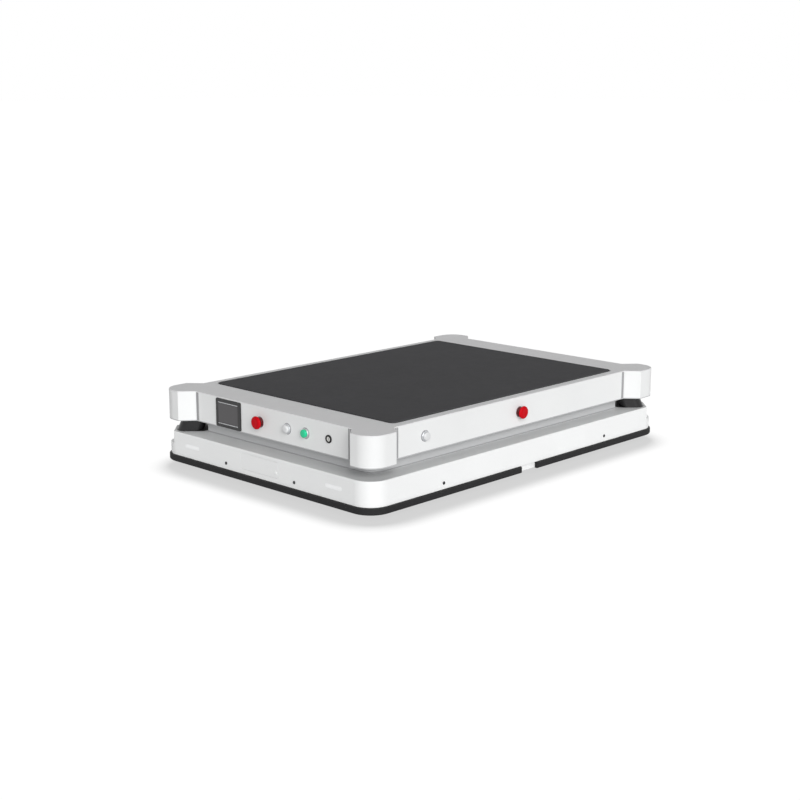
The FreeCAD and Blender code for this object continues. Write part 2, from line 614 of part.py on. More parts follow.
def make_skirt():
    """Moulded cover with deck, scanner notches, lamp windows and charge port recess."""
    skirt = Piece("skirt_shell")
    outline = rectangle(SKIRT_LENGTH, SKIRT_WIDTH, SKIRT_CORNER)
    skirt.pad("size.skirt_bottom", "size.deck_height - size.skirt_bottom", [outline])
    leg = "(size.notch_depth * sqrt(2))"
    margin = "size.bumper_proud"
    notches = []
    for sign in ENDS:
        x, y = f"{sign} * {SKIRT_LENGTH} / 2", f"-{sign} * {SKIRT_WIDTH} / 2"
        notches.append([
            (f"{x} + {sign} * {margin}", f"{y} - {sign} * {margin}", "0"),
            (f"{x} + {sign} * {margin}", f"{y} + {sign} * ({leg} + {margin})", "0"),
            (f"{x} - {sign} * ({leg} + {margin})", f"{y} - {sign} * {margin}", "0"),
        ])
    skirt.cut("size.notch_floor", "size.deck_height - size.notch_floor", notches)
    beyond = rectangle("size.bumper_length", "size.bumper_width", "size.bumper_corner")
    behind = rectangle(BUMPER_INNER_LENGTH, BUMPER_INNER_WIDTH, BUMPER_INNER_CORNER)
    skirt.cut("size.skirt_bottom", f"{BUMPER_TOP} - size.skirt_bottom", [beyond, behind])
    lower = rectangle(SKIRT_LOW_LENGTH, SKIRT_LOW_WIDTH, SKIRT_LOW_CORNER)
    skirt.cut("size.skirt_bottom", f"{SKIRT_STEP} - size.skirt_bottom", [lower])
    ledge_underside = "(size.notch_floor - size.skirt_wall)"
    middle = rectangle(SKIRT_INNER_LENGTH, SKIRT_INNER_WIDTH, SKIRT_INNER_CORNER)
    skirt.cut(SKIRT_STEP, f"{ledge_underside} - {SKIRT_STEP}", [middle])
    bevel = bevel_behind_scanner(SKIRT_INNER_LENGTH, SKIRT_INNER_WIDTH, "size.notch_depth + size.skirt_wall")
    upper = mixed_rectangle(
        SKIRT_INNER_LENGTH, SKIRT_INNER_WIDTH, SKIRT_INNER_CORNER, bevel, SCANNER_QUADRANTS)
    skirt.cut(ledge_underside, f"{DECK_UNDERSIDE} - {ledge_underside}", [upper])

    opening_length = f"({NECK_INNER_LENGTH} - 2 * size.deck_landing)"
    opening_width = f"({NECK_INNER_WIDTH} - 2 * size.deck_landing)"
    back = "size.scanner_back + size.scanner_space + size.neck_wall + size.deck_landing"
    opening = mixed_rectangle(
        opening_length, opening_width, "size.neck_corner - size.neck_wall - size.deck_landing",
        bevel_behind_scanner(opening_length, opening_width, back), SCANNER_QUADRANTS)
    skirt.cut(DECK_UNDERSIDE, "size.skirt_wall", [opening])
    gap = "size.scanner_hole_gap"
    hole = scanner_corners(
        f"size.scanner_front - {gap}", f"size.scanner_back + {gap}", f"size.scanner_width + 2 * {gap}",
        f"size.scanner_front_corner + {gap}", f"size.scanner_back_corner + {gap}")
    skirt.cut(DECK_UNDERSIDE, "size.skirt_wall", [hole, turned_about_middle(hole)])

    through = f"{SKIRT_LENGTH}"
    windows = [
        rectangle("size.lamp_width", "size.lamp_height", "size.lamp_height / 2 - size.lamp_gap",
                  f"{side} * size.lamp_offset", "size.lamp_middle") for side in ENDS]
    hole_radius = "size.screw_shank + size.screw_play"
    end_holes = [
        Circle(f"{side} * size.screw_end_offset", "size.screw_middle", hole_radius) for side in ENDS]
    skirt.cut(f"-{SKIRT_LENGTH} / 2", through, windows + end_holes, "YZ_Plane")
    side_holes = [
        Circle(f"{side} * size.screw_side_offset", "size.screw_middle", hole_radius) for side in ENDS]
    skirt.cut(f"-{SKIRT_WIDTH} / 2", SKIRT_WIDTH, side_holes, "XZ_Plane")
    recess = rectangle("size.port_width + 2 * size.port_groove", "size.port_height + 2 * size.port_groove",
                       "size.port_corner + size.port_groove", "0", "size.port_middle")
    skirt.cut(f"{SKIRT_LENGTH} / 2 - size.port_recess", "size.port_recess", [recess], "YZ_Plane")

    half_length, half_width = number(SKIRT_LENGTH) / 2, number(SKIRT_WIDTH) / 2
    at_deck = level_edge("size.deck_height")
    corner_start = number(SKIRT_CORNER)

    def on_rim(edge):
        box = edge.BoundBox
        outermost = max(abs(box.XMin), abs(box.XMax)) > half_length - corner_start
        outermost_side = max(abs(box.YMin), abs(box.YMax)) > half_width - TINY
        return at_deck(edge) and (outermost_side or (outermost and max(
            abs(box.XMin), abs(box.XMax)) > half_length - TINY))

    skirt.round_edges("size.skirt_edge", on_rim)
    skirt.keep()


def make_port_cover():
    """Flush cover of the charge port with its quarter-turn lock."""
    cover = Piece("charge_port_cover")
    plate = rectangle("size.port_width", "size.port_height", "size.port_corner", "0", "size.port_middle")
    face = f"{SKIRT_LENGTH} / 2"
    cover.pad(f"{face} - size.port_recess", "size.port_recess", [plate], "YZ_Plane")
    lock = Circle("size.port_lock_offset", "size.port_middle - size.port_lock_drop", "size.port_lock_radius")
    cover.pad(face, "size.port_lock_proud", [lock], "YZ_Plane")
    cover.keep()


def make_lamps():
    """Four clear lamp lenses, each held by a flange behind the skirt wall."""
    lamps = Piece("lamp_lenses")
    for end in ENDS:
        for grow, low, depth in (
                (f"-2 * size.lamp_gap", f"{SKIRT_INNER_LENGTH} / 2", "size.skirt_wall"),
                ("2 * size.lamp_flange", f"{SKIRT_INNER_LENGTH} / 2 - size.lamp_flange_depth",
                 "size.lamp_flange_depth")):
            shapes = [
                rectangle(f"size.lamp_width + {grow}", f"size.lamp_height + {grow}",
                          f"(size.lamp_height + {grow}) / 2 - size.lamp_gap",
                          f"{side} * size.lamp_offset", "size.lamp_middle") for side in ENDS]
            start = low if end > 0 else f"-({low}) - {depth}"
            lamps.pad(start, depth, shapes, "YZ_Plane")
    lamps.keep()


def make_skirt_screws():
    """Eight button-head screws that hold the skirt to the frame."""
    screws = Piece("skirt_screws")
    for plane, offset, skirt_size, frame_size in (
            ("YZ_Plane", "size.screw_end_offset", SKIRT_LENGTH, BASE_LENGTH),
            ("XZ_Plane", "size.screw_side_offset", SKIRT_WIDTH, BASE_WIDTH)):
        root = f"({frame_size} / 2 - size.frame_wall)"
        face = f"({skirt_size} / 2)"
        for end in ENDS:
            for low, high, radius in ((root, face, "size.screw_shank"),
                                      (face, f"({face} + size.screw_head_height)", "size.screw_head")):
                dots = [Circle(f"{side} * {offset}", "size.screw_middle", radius) for side in ENDS]
                start = low if end > 0 else f"-{high}"
                screws.pad(start, f"{high} - {low}", dots, plane)
    screws.keep()


# --- Chassis frame ------------------------------------------------------------------------------

RIB_FACE = "((size.cross_rib_spacing + size.rib_plate) / 2)"
KEEL_SPACING = "(size.battery_width + 2 * size.battery_side_gap + size.rib_plate)"
CASTOR_PLACES = [
    (x, y, f"{x} * (size.bumper_length / 2 - size.castor_end_setback)",
     f"{y} * ({KEEL_SPACING} + size.rib_plate + size.bridge_span) / 2") for x, y in QUADRANTS]
COLUMN_PLACES = [
    (f"{x} * size.column_spacing_long / 2", f"{y} * size.column_spacing_wide / 2") for x, y in QUADRANTS]


def make_frame():
    """Chassis: base plate in five parts round the drives and the lift, upright wall, ribs and bridges."""
    floor_corner = f"{SKIRT_LOW_CORNER} - size.base_clearance"
    between_legs = "(size.bridge_span - 2 * size.bridge_plate)"
    lift_floor = Piece("lift_floor")
    lift_floor.pad("size.base_bottom", "size.base_plate",
                   [rectangle("size.cross_rib_spacing", KEEL_SPACING)])
    floors = [lift_floor]
    for side in ENDS:
        outline = rectangle("size.cross_rib_spacing", f"({BASE_WIDTH} - {KEEL_SPACING}) / 2", "0", "0",
                            f"{side} * ({BASE_WIDTH} + {KEEL_SPACING}) / 4")
        slot = rectangle("2 * size.wheel_radius", "size.wheel_width + 2 * size.wheel_slot_gap",
                         "size.frame_vent_radius", "0", f"{side} * size.wheel_track / 2")
        floor = Piece(f"{SIDE_NAMES[side]}_floor")
        floor.pad("size.base_bottom", "size.base_plate", [outline, slot])
        floors.append(floor)
    for end in ENDS:
        outline = []
        for sign_x, sign_y in QUADRANTS:
            across, radius = f"{end} * size.cross_rib_spacing / 2", "0"
            if sign_x == end:
                across, radius = f"{end} * {BASE_LENGTH} / 2", floor_corner
            outline.append((across, f"{sign_y} * {BASE_WIDTH} / 2", radius))
        swings = [
            rectangle("2 * size.castor_swing", between_legs, "size.frame_vent_radius", x, y)
            for sign_x, _, x, y in CASTOR_PLACES if sign_x == end]
        floor = Piece(f"{END_NAMES[end]}_floor")
        floor.pad("size.base_bottom", "size.base_plate", [outline] + swings)
        floors.append(floor)
    keep_group("base_plate", floors)

    wall = Piece("frame_wall")
    wall_height = f"({DECK_UNDERSIDE} - {BASE_TOP})"
    space = "size.scanner_back + size.scanner_space"
    inner_length = f"({BASE_LENGTH} - 2 * size.frame_wall)"
    inner_width = f"({BASE_WIDTH} - 2 * size.frame_wall)"
    outer_bevel = bevel_behind_scanner(BASE_LENGTH, BASE_WIDTH, space)
    inner_bevel = bevel_behind_scanner(inner_length, inner_width, f"{space} + size.frame_wall")
    outer = mixed_rectangle(BASE_LENGTH, BASE_WIDTH, "0", outer_bevel, QUADRANTS)
    inner = mixed_rectangle(inner_length, inner_width, "0", inner_bevel, QUADRANTS)
    wall.pad(BASE_TOP, wall_height, [outer, inner])
    radius = "size.screw_shank + size.screw_play"
    for plane, offset, extent in (("YZ_Plane", "size.screw_end_offset", BASE_LENGTH),
                                  ("XZ_Plane", "size.screw_side_offset", BASE_WIDTH)):
        holes = [Circle(f"{side} * {offset}", "size.screw_middle", radius) for side in ENDS]
        wall.cut(f"{extent} / 2 - size.frame_wall", "size.frame_wall", holes, plane)
        wall.cut(f"-{extent} / 2", "size.frame_wall", holes, plane)
    wall.keep()
    plates = []

    def add_plate(label, bottom, height, outline):
        """One flat plate of the frame, upright or level."""
        plate = Piece(label)
        plate.pad(bottom, height, [outline])
        plates.append(plate)

    keel_length = f"({inner_length} / 2 - {RIB_FACE})"
    for end in ENDS:
        add_plate(f"{END_NAMES[end]}_rib", BASE_TOP, wall_height,
                  rectangle("size.rib_plate", inner_width, "0", f"{end} * size.cross_rib_spacing / 2"))
        keel_middle = f"{end} * ({keel_length} / 2 + {RIB_FACE})"
        for side in ENDS:
            keel = rectangle(
                keel_length, "size.rib_plate", "0", keel_middle, f"{side} * {KEEL_SPACING} / 2")
            add_plate(f"{END_NAMES[end]}_{SIDE_NAMES[side]}_keel", BASE_TOP, wall_height, keel)
    for sign_x, sign_y, x, y in CASTOR_PLACES:
        name = f"{END_NAMES[sign_x]}_{SIDE_NAMES[sign_y]}"
        add_plate(f"{name}_bridge", "size.castor_height", "size.bridge_plate",
                  rectangle("size.bridge_length", "size.bridge_span", "0", x, y))
        for side in ENDS:
            add_plate(f"{name}_leg_{side + 1}", BASE_TOP, f"size.castor_height - {BASE_TOP}",
                      rectangle("size.bridge_leg_length", "size.bridge_plate", "0", x,
                                f"{y} + {side} * (size.bridge_span - size.bridge_plate) / 2"))
    keep_group("frame_ribs", plates)


# --- Castors ------------------------------------------------------------------------------------

def make_castors():
    """Four swivel castors: plates with races, forks with axles, and wheels."""
    plates = Piece("castor_plates")
    plate_bottom = "(size.castor_height - size.castor_plate)"
    crown_top = "(size.castor_crown_bottom + size.castor_crown)"
    race_top = f"({crown_top} + size.castor_race_height)"
    bore = "size.castor_kingpin + size.castor_play"
    race_bottom = f"{race_top} + size.castor_race_gap"
    race_height = f"{plate_bottom} - {race_top} - size.castor_race_gap"
    for _, _, x, y in CASTOR_PLACES:
        plate = rectangle("size.castor_plate_long", "size.castor_plate_wide", "0", x, y)
        plates.pad(plate_bottom, "size.castor_plate", [plate, Circle(x, y, bore)])
        plates.pad(race_bottom, race_height, [Circle(x, y, "size.castor_race_radius"), Circle(x, y, bore)])
    plates.keep()

    inner = "(size.castor_wheel_width / 2 + size.castor_side_gap)"
    outer = f"({inner} + size.castor_leg)"
    for sign_x, sign_y, x, y in CASTOR_PLACES:
        name = f"{END_NAMES[sign_x]}_{SIDE_NAMES[sign_y]}_castor"
        fork = Piece(f"{name}_fork")
        crown = rectangle("size.castor_crown_length", f"2 * {outer}", "0", "-size.castor_trail / 4")
        fork.pad("size.castor_crown_bottom", "size.castor_crown", [crown])
        fork.pad(crown_top, "size.castor_race_height", [Circle("0", "0", "size.castor_race_radius")])
        fork.pad(race_top, f"size.castor_height - {race_top}", [Circle("0", "0", "size.castor_kingpin")])
        crown_back = "(-size.castor_trail / 4 - size.castor_crown_length / 2)"
        crown_front = "(-size.castor_trail / 4 + size.castor_crown_length / 2)"
        axle_height = "size.castor_wheel_radius"
        reach = "size.castor_leg_width / 2"
        leg = [
            (crown_front, "size.castor_crown_bottom", "0"), (crown_back, "size.castor_crown_bottom", "0"),
            (f"-size.castor_trail - {reach}", f"{axle_height} - {reach}", f"{reach} - 1"),
            (f"-size.castor_trail + {reach}", f"{axle_height} - {reach}", f"{reach} - 1")]
        for start in (inner, f"-{outer}"):
            fork.pad(start, "size.castor_leg", [leg], "XZ_Plane")
        axle = Circle("-size.castor_trail", axle_height, "size.castor_axle")
        fork.pad(f"-{outer}", f"2 * {outer}", [axle], "XZ_Plane")
        fork.place(x, y, "0").keep()

        wheel = Piece(f"{name}_wheel")
        half = "size.castor_wheel_width / 2"
        bore_radius = "size.castor_axle + size.castor_play"
        rim, bevel = "size.castor_wheel_radius", "size.castor_wheel_bevel"
        wheel.turn([
            (bore_radius, f"-{half}", "0"), (f"{rim} - {bevel}", f"-{half}", "0"),
            (rim, f"-{half} + {bevel}", "0"), (rim, f"{half} - {bevel}", "0"),
            (f"{rim} - {bevel}", half, "0"), (bore_radius, half, "0")])
        wheel.place(f"{x} - size.castor_trail", y, axle_height, LEFT).keep()


# --- Drive modules ------------------------------------------------------------------------------

ARM_OUTER = "(size.wheel_track / 2 - size.wheel_width / 2 - size.arm_gap)"
ARM_INNER = f"({ARM_OUTER} - size.arm_plate)"
LUG_OUTER_FACE = f"({ARM_OUTER} + size.lug_gap)"
LUG_INNER_FACE = f"({ARM_INNER} - size.lug_gap)"
PIVOT_X = "(-size.arm_pivot_reach)"
SPRING_Y = f"({ARM_INNER} + size.arm_plate / 2)"
SPRING_FOLDS = ("size.spring_waist", "size.spring_bulge") * 3 + ("size.spring_waist",)


def across_side(side, low, high):
    """Start and depth of a feature drawn in the XZ plane that lies between two distances to one side."""
    return (f"-({high})" if side > 0 else low), f"({high}) - ({low})"


def make_drive(side):
    """Swing arm, wheel, gearmotor and spring of one side."""
    name = SIDE_NAMES[side]
    facing = LEFT if side > 0 else RIGHT

    arm = Piece(f"{name}_swing_arm")
    pivot, boss = "size.arm_pivot_height", "size.arm_pivot_boss"
    seat_back = "(size.arm_seat_reach - size.arm_seat_length / 2)"
    seat_front = "(size.arm_seat_reach + size.arm_seat_length / 2)"
    seat_low = "(size.arm_seat_top - size.arm_seat_depth)"
    outline = [
        (f"{PIVOT_X} - {boss}", f"{pivot} + {boss}", f"{boss} - 1"),
        (f"{PIVOT_X} - {boss}", f"{pivot} - {boss}", f"{boss} - 1"),
        ("-size.arm_axle_boss", "size.wheel_radius - size.arm_axle_boss", boss),
        ("size.arm_axle_boss", "size.wheel_radius - size.arm_axle_boss", boss),
        (seat_back, seat_low, "0"), (seat_front, seat_low, "0"),
        (seat_front, "size.arm_seat_top", "0"), (seat_back, "size.arm_seat_top", "0"),
        ("size.arm_axle_boss", "size.wheel_radius + size.arm_axle_boss", boss),
        ("-size.arm_axle_boss", "size.wheel_radius + size.arm_axle_boss", boss)]
    start, depth = across_side(side, ARM_INNER, ARM_OUTER)
    bores = [Circle("0", "size.wheel_radius", "size.wheel_shaft + size.wheel_shaft_play"),
             Circle(PIVOT_X, pivot, "size.pivot_pin + size.pivot_play")]
    arm.pad(start, depth, [outline] + bores, "XZ_Plane")
    seat = rectangle("size.arm_seat_length", "size.arm_seat_width", "0",
                     "size.arm_seat_reach", f"{side} * {SPRING_Y}")
    arm.pad(seat_low, "size.arm_seat_depth", [seat])
    arm.keep()

    wheel = Piece(f"{name}_drive_wheel")
    half, rim, bevel = "size.wheel_width / 2", "size.wheel_radius", "size.wheel_tread_bevel"
    shaft_end = f"-{half} - size.arm_gap - size.arm_plate"
    inner_rim = f"({rim} - size.wheel_tread)"
    dish = f"({half} - size.wheel_dish)"
    wheel.turn([
        ("0", shaft_end, "0"), ("size.wheel_shaft", shaft_end, "0"), ("size.wheel_shaft", f"-{half}", "0"),
        (f"{rim} - {bevel}", f"-{half}", "0"), (rim, f"-{half} + {bevel}", "0"),
        (rim, f"{half} - {bevel}", "0"), (f"{rim} - {bevel}", half, "0"),
        (inner_rim, half, "0"), (inner_rim, dish, "0"), ("size.wheel_hub", dish, "0"),
        ("size.wheel_hub", f"{half} + size.wheel_hub_proud", "0"),
        ("0", f"{half} + size.wheel_hub_proud", "0")])
    wheel.place("0", f"{side} * size.wheel_track / 2", "size.wheel_radius", facing).keep()

    motor = Piece(f"{name}_gearmotor")
    box_end = "(-size.gearbox_flange_depth - size.gearbox_length)"
    motor_end = f"({box_end} - size.motor_length)"
    brake_end = f"({motor_end} - size.brake_length)"
    motor.turn([
        ("0", "0", "0"), ("0", brake_end, "0"), ("size.brake_radius - size.brake_edge", brake_end, "0"),
        ("size.brake_radius", f"{brake_end} + size.brake_edge", "0"),
        ("size.brake_radius", motor_end, "0"), ("size.motor_radius", motor_end, "0"),
        ("size.motor_radius", box_end, "0"), ("size.gearbox_radius", box_end, "0"),
        ("size.gearbox_radius", "-size.gearbox_flange_depth", "0"),
        ("size.gearbox_flange", "-size.gearbox_flange_depth", "0"), ("size.gearbox_flange", "0", "0")])
    motor.place("0", f"{side} * {ARM_INNER}", "size.wheel_radius", facing).keep()

    spring = Piece(f"{name}_spring")
    folds = len(SPRING_FOLDS) - 1
    outside = [
        (fold, f"size.spring_length * {index} / {folds}", "0") for index, fold in enumerate(SPRING_FOLDS)]
    bore = [("size.spring_bore", "size.spring_length", "0"), ("size.spring_bore", "0", "0")]
    spring.turn(outside + bore)
    spring.place("size.arm_seat_reach", f"{side} * {SPRING_Y}", "size.arm_seat_top").keep()


def make_suspension_brackets():
    """Pivot brackets with their pins, and spring towers, on the base plate."""
    brackets = Piece("arm_brackets")
    pins = Piece("arm_pivot_pins")
    lug_outer = f"({LUG_OUTER_FACE} + size.lug_plate)"
    lug_inner = f"({LUG_INNER_FACE} - size.lug_plate)"
    for side in ENDS:
        foot = rectangle("2 * size.lug_radius", f"{lug_outer} - {lug_inner}", "0", PIVOT_X,
                         f"{side} * ({lug_outer} + {lug_inner}) / 2")
        brackets.pad(BASE_TOP, "size.lug_foot", [foot])
        rounding = "size.lug_radius * size.lug_rounding"
        lug_top = "size.arm_pivot_height + size.lug_radius"
        lug = [
            (f"{PIVOT_X} - size.lug_radius", f"{BASE_TOP} + size.lug_foot", "0"),
            (f"{PIVOT_X} + size.lug_radius", f"{BASE_TOP} + size.lug_foot", "0"),
            (f"{PIVOT_X} + size.lug_radius", lug_top, rounding),
            (f"{PIVOT_X} - size.lug_radius", lug_top, rounding)]
        hole = Circle(PIVOT_X, "size.arm_pivot_height", "size.pivot_pin")
        for low, high in ((lug_inner, LUG_INNER_FACE), (LUG_OUTER_FACE, lug_outer)):
            start, depth = across_side(side, low, high)
            brackets.pad(start, depth, [lug, hole], "XZ_Plane")
        upright = "(size.arm_seat_reach + size.arm_seat_length / 2 + size.tower_gap)"
        ledge_back = "(size.arm_seat_reach - size.arm_seat_length / 2)"
        ledge = "(size.arm_seat_top + size.spring_length)"
        tower = [
            (upright, BASE_TOP, "0"), (f"{upright} + size.tower_plate", BASE_TOP, "0"),
            (f"{upright} + size.tower_plate", f"{ledge} + size.tower_plate", "size.tower_plate / 2"),
            (ledge_back, f"{ledge} + size.tower_plate", "0"), (ledge_back, ledge, "0"),
            (upright, ledge, "0")]
        half = "size.tower_width / 2"
        start, depth = across_side(side, f"{SPRING_Y} - {half}", f"{SPRING_Y} + {half}")
        brackets.pad(start, depth, [tower], "XZ_Plane")
        start, depth = across_side(side, lug_inner, lug_outer)
        pins.pad(start, depth, [Circle(PIVOT_X, "size.arm_pivot_height", "size.pivot_pin")], "XZ_Plane")
        start, depth = across_side(side, f"{lug_inner} - size.pivot_head_height", lug_inner)
        pins.pad(start, depth, [Circle(PIVOT_X, "size.arm_pivot_height", "size.pivot_head")], "XZ_Plane")
    keep_group("suspension_brackets", [brackets, pins])


# --- Safety scanners ----------------------------------------------------------------------------

def make_scanners():
    """Housings that stand on the base plate and slanted window heads in the slit."""
    housings = Piece("scanner_housings")
    joint = "(size.deck_height + size.scanner_joint)"
    footprint = scanner_corners("size.scanner_front", "size.scanner_back", "size.scanner_width",
                                "size.scanner_front_corner", "size.scanner_back_corner")
    body = housings.pad(BASE_TOP, f"{joint} - {BASE_TOP}", [footprint])
    housings.repeat_turned([body], 2)
    housings.keep()

    heads = Piece("scanner_heads")
    rest = ("size.scanner_width", "size.scanner_front_corner", "size.scanner_back_corner")
    low = scanner_corners("size.scanner_front", "size.scanner_back - size.scanner_lean", *rest)
    high = scanner_corners("size.scanner_front + size.scanner_lean", "size.scanner_back", *rest)
    window = heads.loft(joint, low, "size.body_bottom - size.scanner_top_gap", high)
    heads.repeat_turned([window], 2)
    heads.keep()


# --- Upper body ---------------------------------------------------------------------------------

BODY_X = f"({BODY_LENGTH} / 2)"
BODY_Y = f"({BODY_WIDTH} / 2)"


def upper_outline():
    """Outline of the upper body with its four corner covers, anticlockwise from the front."""
    corners = []
    for sign_x, sign_y in QUADRANTS:
        out_x = f"{sign_x} * ({BODY_X} + size.pod_proud)"
        out_y = f"{sign_y} * ({BODY_Y} + size.pod_proud)"
        end_start = f"{sign_y} * ({BODY_Y} - size.pod_reach_end)"
        end_stop = f"{sign_y} * ({BODY_Y} - size.pod_reach_end + size.pod_run)"
        side_start = f"{sign_x} * ({BODY_X} - size.pod_reach_side)"
        side_stop = f"{sign_x} * ({BODY_X} - size.pod_reach_side + size.pod_run)"
        part = [
            (f"{sign_x} * {BODY_X}", end_start, "0"), (out_x, end_stop, "0"),
            (out_x, out_y, "size.pod_corner"), (side_stop, out_y, "0"),
            (side_start, f"{sign_y} * {BODY_Y}", "0")]
        corners += part if sign_x * sign_y > 0 else part[::-1]
    return corners


def make_plinth():
    """Neck of the robot, and the flange on it that carries the upper body."""
    back = "size.scanner_back + size.scanner_space"
    outer_bevel = bevel_behind_scanner(NECK_LENGTH, NECK_WIDTH, back)
    inner_bevel = bevel_behind_scanner(NECK_INNER_LENGTH, NECK_INNER_WIDTH, f"{back} + size.neck_wall")
    outer = mixed_rectangle(NECK_LENGTH, NECK_WIDTH, "size.neck_corner", outer_bevel, SCANNER_QUADRANTS)
    inner = mixed_rectangle(NECK_INNER_LENGTH, NECK_INNER_WIDTH, "size.neck_corner - size.neck_wall",
                            inner_bevel, SCANNER_QUADRANTS)
    neck = Piece("neck")
    neck.pad("size.deck_height", "size.body_bottom - size.deck_height", [outer, inner])
    flange = Piece("body_flange")
    flange.pad("size.body_bottom", "size.body_sheet", [upper_outline(), inner])
    keep_group("plinth_frame", [neck, flange])


def make_top_frame():
    """Top of the upper body: one sheet with a turned-down lip round the platform opening."""
    top = Piece("top_frame")
    opening = rectangle(OPENING_LENGTH, OPENING_WIDTH, OPENING_CORNER)
    top.pad(PANEL_TOP, "size.body_sheet", [upper_outline(), opening])
    outside = rectangle(f"{OPENING_LENGTH} + 2 * size.body_sheet", f"{OPENING_WIDTH} + 2 * size.body_sheet",
                        f"{OPENING_CORNER} + size.body_sheet")
    top.pad("size.body_top - size.lip_depth", "size.lip_depth - size.body_sheet / 2", [outside, opening])
    at_top = level_edge("size.body_top")
    gap = number("size.platform_gap")
    opening_x, opening_y = number(OPENING_LENGTH) / 2, number(OPENING_WIDTH) / 2

    def on_rim(edge):
        box = edge.BoundBox
        inside = max(abs(box.XMin), abs(box.XMax)) < opening_x + gap and max(
            abs(box.YMin), abs(box.YMax)) < opening_y + gap
        return at_top(edge) and not inside

    top.round_edges("size.top_edge", on_rim)
    top.keep()


def make_corner_cover(sign_x, sign_y):
    """Corner cover: slanted faces, short flats and one large vertical rounding, in thin sheet."""
    cover = Piece(f"{END_NAMES[sign_x]}_{SIDE_NAMES[sign_y]}_corner_cover")
    sheet_size = "size.body_sheet"
    slope = "size.pod_proud / size.pod_run"
    shift = f"{sheet_size} * tan(atan({slope}) / 2)"
    cut_back = f"{sheet_size} * sqrt(1 + ({slope}) ^ 2)"
    out_x, out_y = f"({BODY_X} + size.pod_proud)", f"({BODY_Y} + size.pod_proud)"
    end_start = f"({BODY_Y} - size.pod_reach_end)"
    side_start = f"({BODY_X} - size.pod_reach_side)"
    profile = [
        (BODY_X, end_start, "0"), (out_x, f"{end_start} + size.pod_run", "0"),
        (out_x, out_y, "size.pod_corner"),
        (f"{side_start} + size.pod_run", out_y, "0"), (side_start, BODY_Y, "0"),
        (side_start, f"{BODY_Y} - {cut_back}", "0"),
        (f"{side_start} + size.pod_run + {shift}", f"{out_y} - {sheet_size}", "0"),
        (f"{out_x} - {sheet_size}", f"{out_y} - {sheet_size}", f"size.pod_corner - {sheet_size}"),
        (f"{out_x} - {sheet_size}", f"{end_start} + size.pod_run + {shift}", "0"),
        (f"{BODY_X} - {cut_back}", end_start, "0")]
    mirrored = [(f"{sign_x} * ({across})", f"{sign_y} * ({up})", radius) for across, up, radius in profile]
    cover.pad(FLANGE_TOP, PANEL_HEIGHT, [mirrored])
    cover.keep()


def panel_grooves(width):
    """Upright grooves at both ends of a side panel."""
    return [
        rectangle("size.panel_groove", PANEL_HEIGHT, "0", f"{side} * ({width} - size.panel_groove) / 2",
                  f"({FLANGE_TOP} + {PANEL_TOP}) / 2") for side in ENDS]


def make_end_panel(end, holes):
    """Short side panel between two corner covers."""
    panel = Piece(f"{END_NAMES[end]}_panel")
    width = f"({BODY_WIDTH} - 2 * size.pod_reach_end)"
    face = rectangle(width, PANEL_HEIGHT, "0", "0", f"({FLANGE_TOP} + {PANEL_TOP}) / 2")
    start = f"{BODY_X} - size.body_sheet" if end > 0 else f"-{BODY_X}"
    panel.pad(start, "size.body_sheet", [face] + holes, "YZ_Plane")
    start = f"{BODY_X} - size.panel_groove_depth" if end > 0 else f"-{BODY_X}"
    panel.cut(start, "size.panel_groove_depth", panel_grooves(width), "YZ_Plane")
    panel.keep()


def make_side_panel(side, holes):
    """Long side panel between two corner covers."""
    panel = Piece(f"{SIDE_NAMES[side]}_panel")
    width = f"({BODY_LENGTH} - 2 * size.pod_reach_side)"
    face = rectangle(width, PANEL_HEIGHT, "0", "0", f"({FLANGE_TOP} + {PANEL_TOP}) / 2")
    start, depth = across_side(side, f"{BODY_Y} - size.body_sheet", BODY_Y)
    panel.pad(start, depth, [face] + holes, "XZ_Plane")
    start, depth = across_side(side, f"{BODY_Y} - size.panel_groove_depth", BODY_Y)
    panel.cut(start, depth, panel_grooves(width), "XZ_Plane")
    panel.keep()


# --- Controls -----------------------------------------------------------------------------------

CONTROLS_Z = "size.controls_middle"
SIDE_BUTTON_X = f"({BODY_X} - size.side_button_setback)"
ON_FRONT = {
    "estop": "-size.estop_offset", "white": "size.white_button_offset",
    "green": "size.green_button_offset", "key": "size.key_offset"}


def make_display():
    """Touch display: bezel with its housing, and the glass in the bezel."""
    bezel = Piece("display_bezel")
    middle_y, middle_z = "-size.display_offset", "size.display_middle"
    housing = rectangle("size.display_body_width", "size.display_body_height", "0", middle_y, middle_z)
    bezel.pad(f"{BODY_X} - size.display_body_depth", "size.display_body_depth", [housing], "YZ_Plane")
    front = rectangle("size.display_width", "size.display_height", "size.display_corner", middle_y, middle_z)
    bezel.pad(BODY_X, "size.display_proud", [front], "YZ_Plane")
    recess = rectangle("size.screen_width + 2 * size.screen_gap", "size.screen_height + 2 * size.screen_gap",
                       "0", middle_y, middle_z)
    face = f"({BODY_X} + size.display_proud)"
    bezel.cut(f"{face} - size.screen_depth", "size.screen_depth", [recess], "YZ_Plane")
    front_x = number(face)
    reach_y = number("size.screen_width + size.display_width") / 4

    def on_rim(edge):
        box = edge.BoundBox
        middle = number(middle_y)
        at_face = abs(box.XMin - front_x) < TINY and abs(box.XMax - front_x) < TINY
        height_reach = number("size.screen_height + size.display_height") / 4
        wide = max(abs(box.YMin - middle), abs(box.YMax - middle)) > reach_y
        return at_face and (wide or max(
            abs(box.ZMin - number(middle_z)), abs(box.ZMax - number(middle_z))) > height_reach)

    bezel.round_edges("size.display_edge", on_rim)
    bezel.keep()
    glass = Piece("display_screen")
    pane = rectangle("size.screen_width", "size.screen_height", "0", middle_y, middle_z)
    glass.pad(f"{face} - size.screen_depth", "size.screen_depth", [pane], "YZ_Plane")
    glass.keep()


